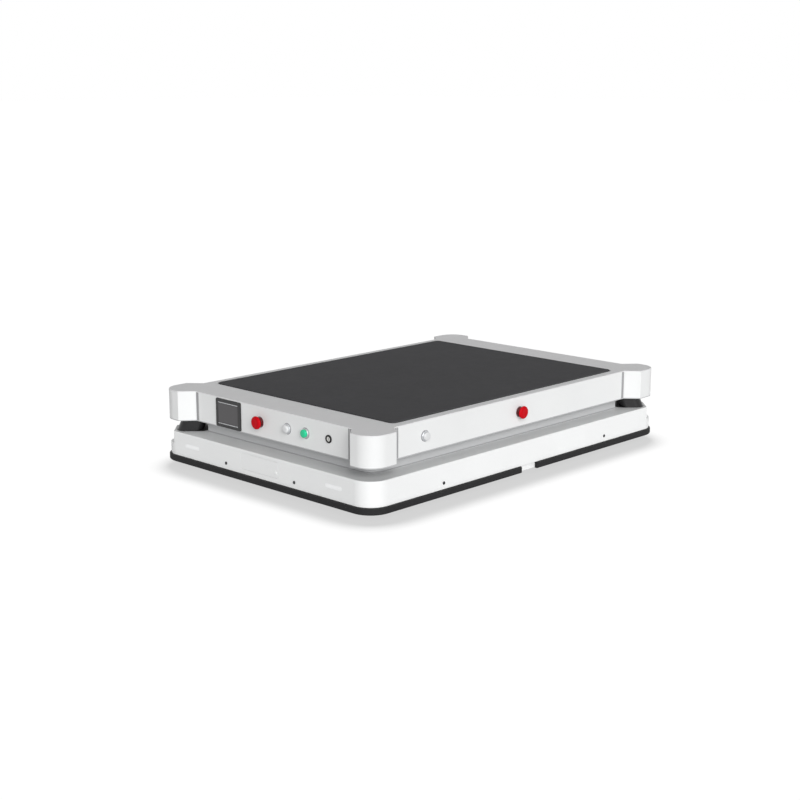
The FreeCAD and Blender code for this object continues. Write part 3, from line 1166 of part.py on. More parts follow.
def collar_profile(radius, height, bore, seat_radius=None, seat_floor=None):
    """Profile of a control's fixed part: contact block behind the panel, neck, and collar in front."""
    bevel = "size.collar_bevel"
    profile = [
        (bore, "-size.control_depth", "0"), ("size.control_nut", "-size.control_depth", "0"),
        ("size.control_nut", "-size.body_sheet", "0"), ("size.control_neck", "-size.body_sheet", "0"),
        ("size.control_neck", "0", "0"), (radius, "0", "0"), (radius, f"{height} - {bevel}", "0"),
        (f"{radius} - {bevel}", height, "0")]
    if seat_radius is None:
        return profile + [(bore, height, "0")]
    return profile + [(seat_radius, height, "0"), (seat_radius, seat_floor, "0"), (bore, seat_floor, "0")]


STEM_BACK = "(size.stem_back_gap - size.control_depth)"


def make_estops():
    """Emergency stops on the front and on both sides."""
    places = (
        ("front", BODY_X, ON_FRONT["estop"], FORWARD),
        ("left", "0", BODY_Y, LEFT),
        ("right", "0", f"-{BODY_Y}", RIGHT))
    collars = []
    rest = "(size.estop_collar_height + size.travel_gap + size.estop_travel)"
    for name, x, y, facing in places:
        collar = Piece(f"{name}_estop_collar")
        collar.turn(collar_profile("size.estop_collar", "size.estop_collar_height",
                                   "size.estop_stem + size.control_stem_gap"))
        collars.append(collar.place(x, y, CONTROLS_Z, facing))
        head = Piece(f"{name}_estop_head")
        top = f"({rest} + size.estop_head_height)"
        head.turn([
            ("0", STEM_BACK, "0"), ("size.estop_stem", STEM_BACK, "0"), ("size.estop_stem", rest, "0"),
            ("size.estop_head - size.estop_chamfer", rest, "0"),
            ("size.estop_head", f"{rest} + size.estop_chamfer", "0"),
            ("size.estop_head", f"{rest} + size.estop_rim", "0"),
            ("size.estop_crown", top, "0"), ("0", top, "0")])
        head.place(x, y, CONTROLS_Z, facing).keep()
    keep_group("estop_collars", collars)


def make_buttons():
    """Push buttons, and the key switch with its barrel."""
    places = (
        ("front_white", BODY_X, ON_FRONT["white"], FORWARD),
        ("front_green", BODY_X, ON_FRONT["green"], FORWARD),
        ("left_white", SIDE_BUTTON_X, BODY_Y, LEFT))
    collars = []
    cap_bottom = "size.button_collar_height"
    floor = "(size.button_collar_height - size.button_travel - size.travel_gap)"
    for name, x, y, facing in places:
        collar = Piece(f"{name}_button_collar")
        collar.turn(collar_profile("size.button_collar", "size.button_collar_height",
                                   "size.button_stem + size.control_stem_gap",
                                   "size.button_cap + size.travel_gap", floor))
        collars.append(collar.place(x, y, CONTROLS_Z, facing))
        cap = Piece(f"{name}_button")
        top = f"({cap_bottom} + size.button_cap_height)"
        cap.turn([
            ("0", STEM_BACK, "0"), ("size.button_stem", STEM_BACK, "0"),
            ("size.button_stem", cap_bottom, "0"),
            ("size.button_cap", cap_bottom, "0"), ("size.button_cap", f"{top} - size.button_dome", "0"),
            ("size.button_cap - size.button_dome", top, "0"), ("0", top, "0")])
        cap.place(x, y, CONTROLS_Z, facing).keep()
    lock = Piece("key_collar")
    lock.turn(collar_profile("size.key_collar", "size.key_collar_height",
                             "size.key_barrel + size.control_stem_gap"))
    collars.append(lock.place(BODY_X, ON_FRONT["key"], CONTROLS_Z, FORWARD))
    keep_group("button_collars", collars)
    barrel = Piece("key_barrel")
    barrel.turn([
        ("0", STEM_BACK, "0"), ("size.key_barrel", STEM_BACK, "0"),
        ("size.key_barrel", "size.key_barrel_proud", "0"), ("0", "size.key_barrel_proud", "0")])
    slot = rectangle("size.key_slot_length", "size.key_slot_width")
    barrel.cut("size.key_barrel_proud - size.key_slot_depth", "size.key_slot_depth", [slot])
    barrel.place(BODY_X, ON_FRONT["key"], CONTROLS_Z, FORWARD).keep()


# --- Load platform and lift ---------------------------------------------------------------------

GRID_BOTTOM = f"({PLATFORM_UNDERSIDE} - size.grid_height)"
GEAR_CENTRES = "(size.gear_module * (size.gear_teeth + size.pinion_teeth) / 2)"


def make_platform():
    """Load plate, the stiffening grid with the nut tube under it, and the guide columns."""
    plate = Piece("lift_platform")
    plate.pad(PLATFORM_UNDERSIDE, "size.platform_plate",
              [rectangle(PLATFORM_LENGTH, PLATFORM_WIDTH, "size.platform_corner")])
    plate.round_edges("size.platform_edge", level_edge(PLATFORM_TOP))
    plate.keep()

    grid = Piece("platform_grid")
    rim = [
        rectangle("size.grid_length", "size.grid_width"),
        rectangle("size.grid_length - 2 * size.grid_rib", "size.grid_width - 2 * size.grid_rib")]
    grid.pad(GRID_BOTTOM, "size.grid_height", rim)
    long_rib = rectangle("size.grid_length - size.grid_rib", "size.grid_rib")
    grid.pad(GRID_BOTTOM, "size.grid_height", [long_rib])
    for side in ENDS:
        grid.pad(GRID_BOTTOM, "size.grid_height", [
            rectangle("size.grid_length - size.grid_rib", "size.grid_rib", "0", "0",
                      f"{side} * size.column_spacing_wide / 2")])
        grid.pad(GRID_BOTTOM, "size.grid_height", [
            rectangle("size.grid_rib", "size.grid_width - size.grid_rib", "0",
                      f"{side} * size.column_spacing_long / 2")])
    grid.pad(GRID_BOTTOM, "size.grid_height", [Circle(x, y, "size.grid_boss") for x, y in COLUMN_PLACES])
    nut_height = f"{PLATFORM_UNDERSIDE} - size.nut_bottom"
    grid.pad("size.nut_bottom", nut_height, [Circle("0", "0", "size.nut_radius")])
    screw_top = f"({PLATFORM_UNDERSIDE} - size.screw_top_gap / 2)"
    grid.cut("size.nut_bottom", f"{screw_top} - size.nut_bottom",
             [Circle("0", "0", "size.screw_radius + size.screw_play_lift")])
    grid.keep()

    columns = Piece("guide_columns")
    foot = f"({BASE_TOP} + size.column_foot_gap)"
    rounds = [Circle(x, y, "size.column_radius") for x, y in COLUMN_PLACES]
    columns.pad(foot, f"{GRID_BOTTOM} - {foot}", rounds)
    columns.keep()


def gear_radii(teeth):
    """Pitch, base, tip and root radius of a gear with the number of teeth given."""
    pitch = f"(size.gear_module * {teeth} / 2)"
    base = f"({pitch} * cos(size.gear_pressure_angle))"
    return pitch, base, f"({pitch} + size.gear_module)", f"({pitch} - 1.25 * size.gear_module)"


def gear_tooth(teeth, turn):
    """Outline of a tooth with involute flanks, its middle turned away from the sideways axis."""
    pitch, base, tip, root = gear_radii(teeth)
    flank_start = f"max({root}; {base} * {1 + TINY})"
    marks = [(flank_start, f"{root} - size.gear_module")]
    marks += [(f"({flank_start} * {1 - share} + {tip} * {share})",) * 2 for share in (0, 0.5, 1)]
    rising, falling = [], []
    for on_flank, radius in marks:
        roll = f"sqrt(({on_flank} / {base}) ^ 2 - 1)"
        unrolled = f"({roll} * 180 / pi - atan({roll}) / 1 deg)"
        at_pitch = "(tan(size.gear_pressure_angle) * 180 / pi - size.gear_pressure_angle)"
        half_tooth = f"(90 / {teeth} - size.gear_backlash / {pitch} * 45 / pi)"
        angle = f"({half_tooth} + {at_pitch} - {unrolled})"
        falling.append((f"({radius}) * cos({turn} + {angle})", f"({radius}) * sin({turn} + {angle})", "0"))
        rising.append((f"({radius}) * cos({turn} - {angle})", f"({radius}) * sin({turn} - {angle})", "0"))
    return rising + falling[::-1]


def add_gear(piece, teeth, turn):
    """Adds a spur gear to a piece, about the piece's own vertical axis."""
    root = gear_radii(teeth)[3]
    tooth = piece.pad("size.gear_bottom", "size.gear_width", [gear_tooth(teeth, turn)])
    ring = piece.repeat_turned([tooth], int(number(teeth)))
    bind(ring, "Occurrences", teeth)
    return root


def make_lift_drive():
    """Lift screw with its gear and bearing housing, and the lift motor with its pinion."""
    gear_top = "(size.gear_bottom + size.gear_width)"
    screw = Piece("lift_screw")
    foot = f"({BASE_TOP} + size.screw_foot_gap)"
    collar_bottom = f"({BASE_TOP} + size.bearing_height + size.thrust_gap)"
    screw.turn([
        ("0", foot, "0"), ("size.screw_radius", foot, "0"),
        ("size.screw_radius", collar_bottom, "0"), ("size.gear_shaft_collar", collar_bottom, "0"),
        ("size.gear_shaft_collar", gear_top, "0"), ("size.screw_radius", gear_top, "0"),
        ("size.screw_radius", f"{PLATFORM_UNDERSIDE} - size.screw_top_gap", "0"),
        ("0", f"{PLATFORM_UNDERSIDE} - size.screw_top_gap", "0")])
    screw.keep()
    gear = Piece("lift_gear")
    add_gear(gear, "size.gear_teeth", "0")
    rim = Circle("0", "0", gear_radii("size.gear_teeth")[3])
    gear.pad("size.gear_bottom", "size.gear_width", [rim, Circle("0", "0", "size.gear_shaft_collar")])
    gear.keep()

    bushes = Piece("guide_bushes")
    for x, y in COLUMN_PLACES:
        bore = Circle(x, y, "size.column_radius + size.bush_play")
        bushes.pad(BASE_TOP, "size.bush_flange_depth", [Circle(x, y, "size.bush_flange"), bore])
        bushes.pad(f"{BASE_TOP} + size.bush_flange_depth", "size.bush_height - size.bush_flange_depth",
                   [Circle(x, y, "size.bush_radius"), bore])
    bearing = Piece("screw_bearing")
    bore = "size.screw_radius + size.screw_play_lift"
    flange_top = f"{BASE_TOP} + size.bearing_flange_depth"
    bearing.turn([
        (bore, BASE_TOP, "0"), ("size.bearing_flange", BASE_TOP, "0"),
        ("size.bearing_flange", flange_top, "0"), ("size.bearing_radius", flange_top, "0"),
        ("size.bearing_radius", f"{BASE_TOP} + size.bearing_height", "0"),
        (bore, f"{BASE_TOP} + size.bearing_height", "0")])
    keep_group("lift_bearings", [bushes, bearing])

    motor = Piece("lift_motor")
    top = "size.lift_motor_height"
    bore = "size.pinion_shaft + size.screw_play_lift"
    depth = "(size.lift_motor_height - 2 * size.gear_width)"
    motor.turn([
        ("0", "0", "0"), ("size.lift_motor_radius", "0", "0"),
        ("size.lift_motor_radius", f"{top} - size.lift_motor_edge", "0"),
        ("size.lift_motor_radius - size.lift_motor_edge", top, "0"),
        (bore, top, "0"), (bore, depth, "0"), ("0", depth, "0")])
    motor.place(GEAR_CENTRES, "0", BASE_TOP).keep()
    pinion = Piece("motor_pinion")
    add_gear(pinion, "size.pinion_teeth", "180 / size.pinion_teeth")
    rim = Circle("0", "0", gear_radii("size.pinion_teeth")[3])
    pinion.pad("size.gear_bottom", "size.gear_width", [rim])
    shaft_foot = f"({BASE_TOP} + {depth} + size.screw_foot_gap / 2)"
    pinion.pad(shaft_foot, f"size.gear_bottom - {shaft_foot}", [Circle("0", "0", "size.pinion_shaft")])
    pinion.place(GEAR_CENTRES, "0", "0").keep()


# --- Battery and electronics --------------------------------------------------------------------

def make_battery():
    """Battery pack with a groove under its lid."""
    battery = Piece("battery_pack")
    middle = f"-({RIB_FACE} + size.battery_rib_gap + size.battery_length / 2)"
    block = rectangle("size.battery_length", "size.battery_width", "size.battery_corner", middle)
    battery.pad(BASE_TOP, "size.battery_height", [block])
    waist = rectangle(
        "size.battery_length - 2 * size.battery_groove", "size.battery_width - 2 * size.battery_groove",
        "size.battery_corner - size.battery_groove", middle)
    battery.cut(f"{BASE_TOP} + size.battery_height - size.battery_lid - size.battery_groove",
                "size.battery_groove", [block, waist])
    battery.keep()


def make_control_box():
    """Electronics box with cooling fins on top."""
    box = Piece("control_box")
    middle = f"({RIB_FACE} + size.control_rib_gap + size.control_length / 2)"
    box.pad(BASE_TOP, "size.control_height",
            [rectangle("size.control_length", "size.control_width", "size.control_corner", middle)])
    count = int(number("size.fin_count"))
    fins = [
        rectangle("size.control_length - 4 * size.control_corner", "size.fin_plate", "0", middle,
                  f"({index} - (size.fin_count - 1) / 2) * size.fin_pitch") for index in range(count)]
    box.pad(f"{BASE_TOP} + size.control_height", "size.fin_height", fins)
    box.keep()


# --- Assembly -----------------------------------------------------------------------------------

def build_robot():
    """Makes every sub-part."""
    for end in ENDS:
        make_bumper(end)
    make_skirt()
    make_port_cover()
    make_lamps()
    make_skirt_screws()
    make_frame()
    make_castors()
    for side in ENDS:
        make_drive(side)
    make_suspension_brackets()
    make_scanners()
    make_plinth()
    make_top_frame()
    for sign_x, sign_y in QUADRANTS:
        make_corner_cover(sign_x, sign_y)
    window = rectangle("size.display_body_width + 2 * size.display_body_gap",
                       "size.display_body_height + 2 * size.display_body_gap", "0",
                       "-size.display_offset", "size.display_middle")
    make_end_panel(1, [window] + [Circle(y, CONTROLS_Z, "size.panel_hole") for y in ON_FRONT.values()])
    make_end_panel(-1, [])
    stop_hole = Circle("0", CONTROLS_Z, "size.panel_hole")
    make_side_panel(1, [stop_hole, Circle(SIDE_BUTTON_X, CONTROLS_Z, "size.panel_hole")])
    make_side_panel(-1, [stop_hole])
    make_display()
    make_estops()
    make_buttons()
    make_platform()
    make_lift_drive()
    make_battery()
    make_control_box()
    model.recompute()


def check_model():
    """Stops with a message if an object failed or a sub-part's shape is not sound."""
    for item in model.Objects:
        if {"Invalid", "Error"} & set(item.State):
            raise ValueError(f"{item.Name} failed: {item.State}")
    for label, item in subparts.items():
        if item.Shape.isNull() or not item.Shape.isValid():
            raise ValueError(f"{label} has no sound shape")


build_robot()
check_model()
os.makedirs("parts", exist_ok=True)
for label, item in subparts.items():
    item.Shape.exportStep(f"parts/{label}.step")
print(f"{len(subparts)} sub-parts written")
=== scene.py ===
"""Visual model of a low transport robot with a lifting load platform, dressed around its solids."""

import json
import logging
import math
from dataclasses import dataclass
from enum import Enum
from typing import Callable, Mapping, Sequence

import bmesh
import bpy
from mathutils import Matrix, Vector


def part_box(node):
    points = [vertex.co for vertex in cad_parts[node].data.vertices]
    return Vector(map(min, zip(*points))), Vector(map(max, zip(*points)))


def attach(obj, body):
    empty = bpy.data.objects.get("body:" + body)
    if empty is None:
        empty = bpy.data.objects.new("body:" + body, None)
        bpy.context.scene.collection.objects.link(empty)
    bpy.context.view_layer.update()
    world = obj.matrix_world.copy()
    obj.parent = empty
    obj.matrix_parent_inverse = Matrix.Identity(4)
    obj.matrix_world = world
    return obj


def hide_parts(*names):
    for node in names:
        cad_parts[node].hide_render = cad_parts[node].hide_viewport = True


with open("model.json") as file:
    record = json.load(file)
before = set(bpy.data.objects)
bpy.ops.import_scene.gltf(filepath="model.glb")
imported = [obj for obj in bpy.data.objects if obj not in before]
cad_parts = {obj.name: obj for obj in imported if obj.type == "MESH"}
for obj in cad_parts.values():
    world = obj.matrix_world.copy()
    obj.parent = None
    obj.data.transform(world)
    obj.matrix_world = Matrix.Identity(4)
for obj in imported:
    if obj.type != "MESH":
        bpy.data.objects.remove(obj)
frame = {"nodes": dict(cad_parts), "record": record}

log = logging.getLogger("robot")
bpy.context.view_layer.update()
MM = 0.001
SMOOTH_ANGLE = math.radians(32)
MERGE_DISTANCE = 0.002 * MM
Colour = tuple[float, float, float]
Place = tuple[float, float, float]
Station = tuple[float, float]
Steps = Sequence[Station]
Tree = bpy.types.NodeTree
Node = bpy.types.Node
Socket = bpy.types.NodeSocket
Piece = bpy.types.Object


class Facing(Enum):
    """Ways that a fitting can point, as the direction of its own vertical axis."""

    UP = (0, 0, 1)
    DOWN = (0, 0, -1)
    FRONT = (1, 0, 0)
    REAR = (-1, 0, 0)
    LEFT = (0, 1, 0)
    RIGHT = (0, -1, 0)

    def turn(self) -> Matrix:
        """Rotation that brings +Z to this direction."""
        return Vector((0, 0, 1)).rotation_difference(Vector(self.value)).to_matrix().to_4x4()


Spot = tuple[Place, Facing]


class Relief(Enum):
    """Surface structures, as stretch of the pattern, bumps per metre and depth in metres."""

    MOULDED = ((1, 1, 1), 900.0, 0.00002)
    POWDER = ((1, 1, 1), 620.0, 0.00005)
    RUBBER = ((1, 1, 1), 420.0, 0.00005)
    CAST = ((1, 1, 1), 240.0, 0.00022)
    BRUSHED = ((1, 22, 22), 90.0, 0.00002)
    TURNED = ((14, 14, 1), 120.0, 0.00002)
    SMOOTH = ((1, 1, 1), 60.0, 0.000002)


# --- Shader nodes ---

def linear(red: float, green: float, blue: float) -> tuple[float, float, float, float]:
    """Turns a colour as written in 0 to 255 into scene values.

    Args:
        red, green, blue: display values from 0 to 255.

    Returns:
        The colour in linear light, with alpha 1.
    """
    def one(value: float) -> float:
        """Linear value of one channel."""
        share = value / 255
        return share / 12.92 if share <= 0.04045 else ((share + 0.055) / 1.055) ** 2.4
    return one(red), one(green), one(blue), 1.0


def fill(tree: Tree, node: Node, inputs: Mapping[str | int, object]) -> None:
    """Sets inputs of a node to values, or links them to sockets.

    Args:
        tree: the node's tree.
        node: the node.
        inputs: value or socket for each input, by its name or number.
    """
    for name, value in inputs.items():
        if isinstance(value, Socket):
            tree.links.new(value, node.inputs[name])
        else:
            node.inputs[name].default_value = value


def add_node(tree: Tree, kind: str, inputs: Mapping[str | int, object] | None = None,
             **settings: object) -> Node:
    """Adds a shader node and fills its inputs.

    Args:
        tree: the tree to add to.
        kind: type of the node, without its "ShaderNode".
        inputs: value or socket for each input, by its name or number.
        settings: other properties of the node.

    Returns:
        The new node.
    """
    node = tree.nodes.new("ShaderNode" + kind)
    for name, value in settings.items():
        setattr(node, name, value)
    fill(tree, node, inputs or {})
    return node


def maths(tree: Tree, operation: str, *values: object, clamp: bool = False) -> Socket:
    """Adds a Math node with a value or socket for each input, and returns its result."""
    inputs = dict(enumerate(values))
    return add_node(tree, "Math", inputs, operation=operation, use_clamp=clamp).outputs[0]


def mixed(tree: Tree, share: Socket, under: object, over: object) -> Socket:
    """Adds a node that mixes two colours by the share of the upper one, and returns its result."""
    inputs = {"Factor": share, 6: under, 7: over}
    return add_node(tree, "Mix", inputs, data_type="RGBA").outputs[2]


def here(tree: Tree, kind: str = "Object") -> Socket:
    """Adds a Texture Coordinate node and returns one of its outputs."""
    return add_node(tree, "TexCoord").outputs[kind]


def noise(tree: Tree, scale: float, detail: float) -> Socket:
    """Adds a noise on Object coordinates and returns its value."""
    inputs = {"Vector": here(tree), "Scale": scale, "Detail": detail}
    return add_node(tree, "TexNoise", inputs).outputs["Fac"]


# --- Finishes ---

class PatternGroups:
    """Shader node groups that the finishes share, each built once."""

    def __init__(self) -> None:
        """Builds every group."""
        self.relief = self._relief()
        self.drift = self._drift()
        self.dust = self._dust()
        self.marks = self._marks()

    @staticmethod
    def _open(name: str, inputs: Sequence[tuple[str, str, object]],
              outputs: Sequence[tuple[str, str]]) -> tuple[Tree, Node, Node]:
        """Starts a group.

        Args:
            name: name of the group.
            inputs: name, kind and default of each input.
            outputs: name and kind of each output.

        Returns:
            The tree, its input node and its output node.
        """
        tree = bpy.data.node_groups.new(name, "ShaderNodeTree")
        add = tree.interface.new_socket
        for label, kind, default in inputs:
            add(label, in_out="INPUT", socket_type="NodeSocket" + kind).default_value = default
        for label, kind in outputs:
            add(label, in_out="OUTPUT", socket_type="NodeSocket" + kind)
        return tree, tree.nodes.new("NodeGroupInput"), tree.nodes.new("NodeGroupOutput")

    def _relief(self) -> Tree:
        """Makes the fine bumps of two sizes.

        Returns:
            The group.
        """
        tree, given, result = self._open(
            "fine_relief",
            (("Stretch", "Vector", (1, 1, 1)), ("Scale", "Float", 500.0)),
            (("Height", "Float"),))
        inputs = {0: here(tree), 1: given.outputs["Stretch"]}
        stretched = add_node(tree, "VectorMath", inputs, operation="MULTIPLY").outputs[0]
        shared = {"Vector": stretched, "Scale": given.outputs["Scale"]}
        fine = add_node(tree, "TexNoise", {**shared, "Detail": 2}).outputs["Fac"]
        cells = add_node(tree, "TexVoronoi", shared).outputs["Distance"]
        both = add_node(tree, "Mix", {"Factor": 0.35, "A": fine, "B": cells})
        fill(tree, result, {"Height": both.outputs["Result"]})
        return tree

    def _drift(self) -> Tree:
        """Makes the slow change of tone over a piece.

        Returns:
            The group.
        """
        tree, given, result = self._open(
            "tone_drift",
            (("Colour", "Color", (1, 1, 1, 1)), ("Amount", "Float", 0.04)),
            (("Colour", "Color"),))
        spread = add_node(tree, "MapRange", {
            "Value": noise(tree, 5.0, 3.0), "From Min": 0.3, "From Max": 0.7,
            "To Min": maths(tree, "SUBTRACT", 1.0, given.outputs["Amount"]), "To Max": 1.0})
        inputs = {0: given.outputs["Colour"], "Scale": spread.outputs["Result"]}
        tint = add_node(tree, "VectorMath", inputs, operation="SCALE")
        fill(tree, result, {"Colour": tint.outputs[0]})
        return tree

    def _dust(self) -> Tree:
        """Makes the thin dust on faces that look up.

        Returns:
            The group.
        """
        tree, given, result = self._open(
            "settled_dust",
            (("Colour", "Color", (1, 1, 1, 1)),
             ("Dust", "Color", (0.5, 0.49, 0.47, 1)),
             ("Amount", "Float", 0.1), ("Roughness", "Float", 0.5)),
            (("Colour", "Color"), ("Roughness", "Float")))
        split = add_node(tree, "SeparateXYZ", {0: here(tree, "Normal")})
        upward = add_node(tree, "MapRange", {"Value": split.outputs["Z"], "From Min": 0.2})
        patchy = maths(tree, "MULTIPLY", upward.outputs["Result"], noise(tree, 38.0, 6.0))
        share = maths(tree, "MULTIPLY", patchy, given.outputs["Amount"])
        fill(tree, result, {
            "Colour": mixed(tree, share, given.outputs["Colour"], given.outputs["Dust"]),
            "Roughness": maths(tree, "ADD", given.outputs["Roughness"], share, clamp=True)})
        return tree

    def _marks(self) -> Tree:
        """Makes the uneven gloss from handling and cleaning.

        Returns:
            The group.
        """
        tree, given, result = self._open(
            "handling_marks",
            (("Roughness", "Float", 0.4), ("Amount", "Float", 0.1)),
            (("Roughness", "Float"),))
        centred = maths(tree, "SUBTRACT", noise(tree, 24.0, 5.0), 0.5)
        change = maths(tree, "MULTIPLY_ADD", centred, given.outputs["Amount"],
                       given.outputs["Roughness"], clamp=True)
        fill(tree, result, {"Roughness": change})
        return tree


@dataclass(frozen=True)
class Band:
    """A stretch of a piece, along one axis, in another colour: the key switch's black ring, and
    painted shade.
    """

    axis: str
    middle: float
    reach: float
    colour: Colour

    def over(self, tree: Tree, colour: Socket) -> Socket:
        """Lays the band's colour over another.

        Args:
            tree: the material's tree.
            colour: the colour outside the band.

        Returns:
            The colour with the band.
        """
        level = add_node(tree, "SeparateXYZ", {0: here(tree)}).outputs[self.axis]
        within = maths(tree, "COMPARE", level, self.middle, self.reach)
        return mixed(tree, within, colour, linear(*self.colour))


@dataclass(frozen=True)
class Finish:
    """One surface finish of the robot."""

    name: str
    colour: Colour
    relief: Relief = Relief.MOULDED
    roughness: float = 0.45
    metallic: float = 0.0
    drift: float = 0.03
    dust: float = 0.06
    marks: float = 0.12
    coat: float = 0.0
    specular: float = 0.5
    glow: float = 0.0
    band: Band | None = None

    def build(self, groups: PatternGroups) -> bpy.types.Material:
        """Makes the material.

        Args:
            groups: the shared node groups.

        Returns:
            The finished material.
        """
        material = bpy.data.materials.new(self.name)
        material.use_nodes = True
        tree = material.node_tree
        shader = tree.nodes["Principled BSDF"]
        stretch, density, depth = self.relief.value
        drift = {"Colour": linear(*self.colour), "Amount": self.drift}
        colour = add_node(tree, "Group", drift, node_tree=groups.drift).outputs["Colour"]
        if self.band:
            colour = self.band.over(tree, colour)
        marks = {"Roughness": self.roughness, "Amount": self.marks}
        gloss = add_node(tree, "Group", marks, node_tree=groups.marks).outputs["Roughness"]
        settled = {"Colour": colour, "Roughness": gloss, "Amount": self.dust}
        dust = add_node(tree, "Group", settled, node_tree=groups.dust)
        grain = {"Stretch": stretch, "Scale": density}
        relief = add_node(tree, "Group", grain, node_tree=groups.relief).outputs["Height"]
        bump = add_node(tree, "Bump", {"Height": relief, "Distance": depth})
        fill(tree, shader, {
            "Base Color": dust.outputs["Colour"], "Roughness": dust.outputs["Roughness"],
            "Normal": bump.outputs["Normal"], "Metallic": self.metallic,
            "Coat Weight": self.coat, "Specular IOR Level": self.specular})
        if self.glow:
            glow = {"Emission Color": linear(*self.colour), "Emission Strength": self.glow}
            fill(tree, shader, glow)
        return material


KEY_SWITCH = Band("Y", 0.259, 0.03, (30, 30, 31))
# Painted shade: the skirt's flat deck under the upper body's overhang is coloured grey, darker than
# its white wall.
DECK_SHADE = Band("Z", 0.126, 0.0014, (214, 215, 215))
# Painted shade: the neck's lower part, under the overhang, is coloured darker than the rest of the
# grey frame.
NECK_SHADE = Band("Z", 0.145, 0.03, (197, 198, 199))
FINISHES = (
    Finish("white_skirt", (248, 249, 249), roughness=0.42, dust=0.05, band=DECK_SHADE),
    Finish("white_body", (241, 242, 242), Relief.POWDER, roughness=0.42),
    Finish("grey_top", (238, 238, 239), Relief.POWDER, roughness=0.6, specular=0.25, band=NECK_SHADE),
    Finish("grey_cover", (247, 248, 248), roughness=0.5),
    Finish("rubber", (38, 38, 39), Relief.RUBBER, roughness=0.75, specular=0.2),
    Finish("lamp_lens", (250, 251, 252), Relief.SMOOTH, roughness=0.3, coat=0.3, glow=0.08),
    Finish("zinc_steel", (186, 188, 190), Relief.BRUSHED, roughness=0.36, metallic=1.0, drift=0.12),
    Finish("frame_paint", (92, 94, 96), Relief.POWDER, roughness=0.55),
    Finish("pin_steel", (200, 201, 203), Relief.TURNED, roughness=0.24, metallic=1.0),
    Finish("spring_rubber", (38, 38, 39), Relief.RUBBER, roughness=0.75),
    Finish("scanner_body", (26, 26, 27), roughness=0.6, specular=0.35),
    Finish("scanner_window", (17, 17, 19), Relief.SMOOTH, roughness=0.32, specular=0.4, dust=0.02),
    Finish("display_black", (24, 24, 25), roughness=0.42, dust=0.0),
    Finish("display_glass", (72, 70, 72), Relief.SMOOTH, roughness=0.22, dust=0.0, marks=0.2),
    Finish("collar_metal", (205, 207, 210), Relief.TURNED, roughness=0.35, metallic=0.6,
           band=KEY_SWITCH),
    Finish("estop_base", (84, 8, 16), roughness=0.45, specular=0.3),
    Finish("red_plastic", (200, 3, 20), Relief.SMOOTH, roughness=0.45, specular=0.12, dust=0.0),
    Finish("white_plastic", (226, 227, 228), Relief.SMOOTH, roughness=0.3, dust=0.0),
    Finish("green_plastic", (20, 208, 150), Relief.SMOOTH, roughness=0.3, dust=0.0),
    Finish("lock_metal", (206, 206, 203), Relief.TURNED, roughness=0.28, metallic=1.0),
    Finish("bronze", (176, 142, 88), Relief.TURNED, roughness=0.35, metallic=1.0),
    Finish("motor_metal", (70, 71, 74), Relief.BRUSHED, roughness=0.42, metallic=0.8),
    Finish("battery_case", (48, 49, 51), roughness=0.6),
    Finish("box_aluminium", (198, 200, 202), Relief.BRUSHED, roughness=0.34, metallic=1.0),
    Finish("arm_iron", (96, 97, 99), Relief.CAST, roughness=0.6, metallic=0.3),
    Finish("drive_tyre", (58, 58, 59), Relief.RUBBER, roughness=0.7, dust=0.2),
    Finish("castor_tyre", (104, 104, 106), Relief.RUBBER, roughness=0.6, dust=0.2),
    Finish("fork_steel", (180, 182, 185), Relief.BRUSHED, roughness=0.38, metallic=1.0, drift=0.12),
    Finish("platform_paint", (76, 76, 78), Relief.POWDER, roughness=0.8, specular=0.06, dust=0.03,
           drift=0.05),
    Finish("black_steel", (52, 52, 54), Relief.TURNED, roughness=0.45, metallic=0.5),
    # Grey of the real seals, also worn by the painted-shade strips at the panel ends.
    Finish("grey_seal_and_painted_shade", (168, 168, 170), Relief.RUBBER, roughness=0.8, specular=0.2),
    # Pale trim whose colour paints the highlight on the display bezel's inner edges.
    Finish("painted_highlight_trim", (190, 191, 194), Relief.BRUSHED, roughness=0.4, metallic=0.3),
    Finish("orange_plastic", (206, 92, 28), Relief.RUBBER, roughness=0.55),
)


class Wardrobe:
    """Every finish as a material, and the node or piece that wears it."""

    def __init__(self) -> None:
        """Builds the shared groups and every material."""
        groups = PatternGroups()
        self.materials = {finish.name: finish.build(groups) for finish in FINISHES}

    def dress(self, piece: Piece, finish: str) -> None:
        """Gives a new piece its one material."""
        piece.data.materials.clear()
        piece.data.materials.append(self.materials[finish])

    def dress_solids(self) -> None:
        """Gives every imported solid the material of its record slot."""
        for part in frame["record"]["subparts"]:
            for place in frame["nodes"][part["node"]].material_slots:
                place.material = self.materials[part["material_slot"]]


# --- Tools ---

def middle_of(node: str) -> Vector:
    """Centre of a solid's box."""
    low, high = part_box(node)
    return (low + high) / 2


def millimetres(steps: Steps, scale: float = 1.0) -> list[Station]:
    """Turns steps written in mm into metres, with a scale for the radii."""
    return [(radius * scale * MM, height * MM) for radius, height in steps]


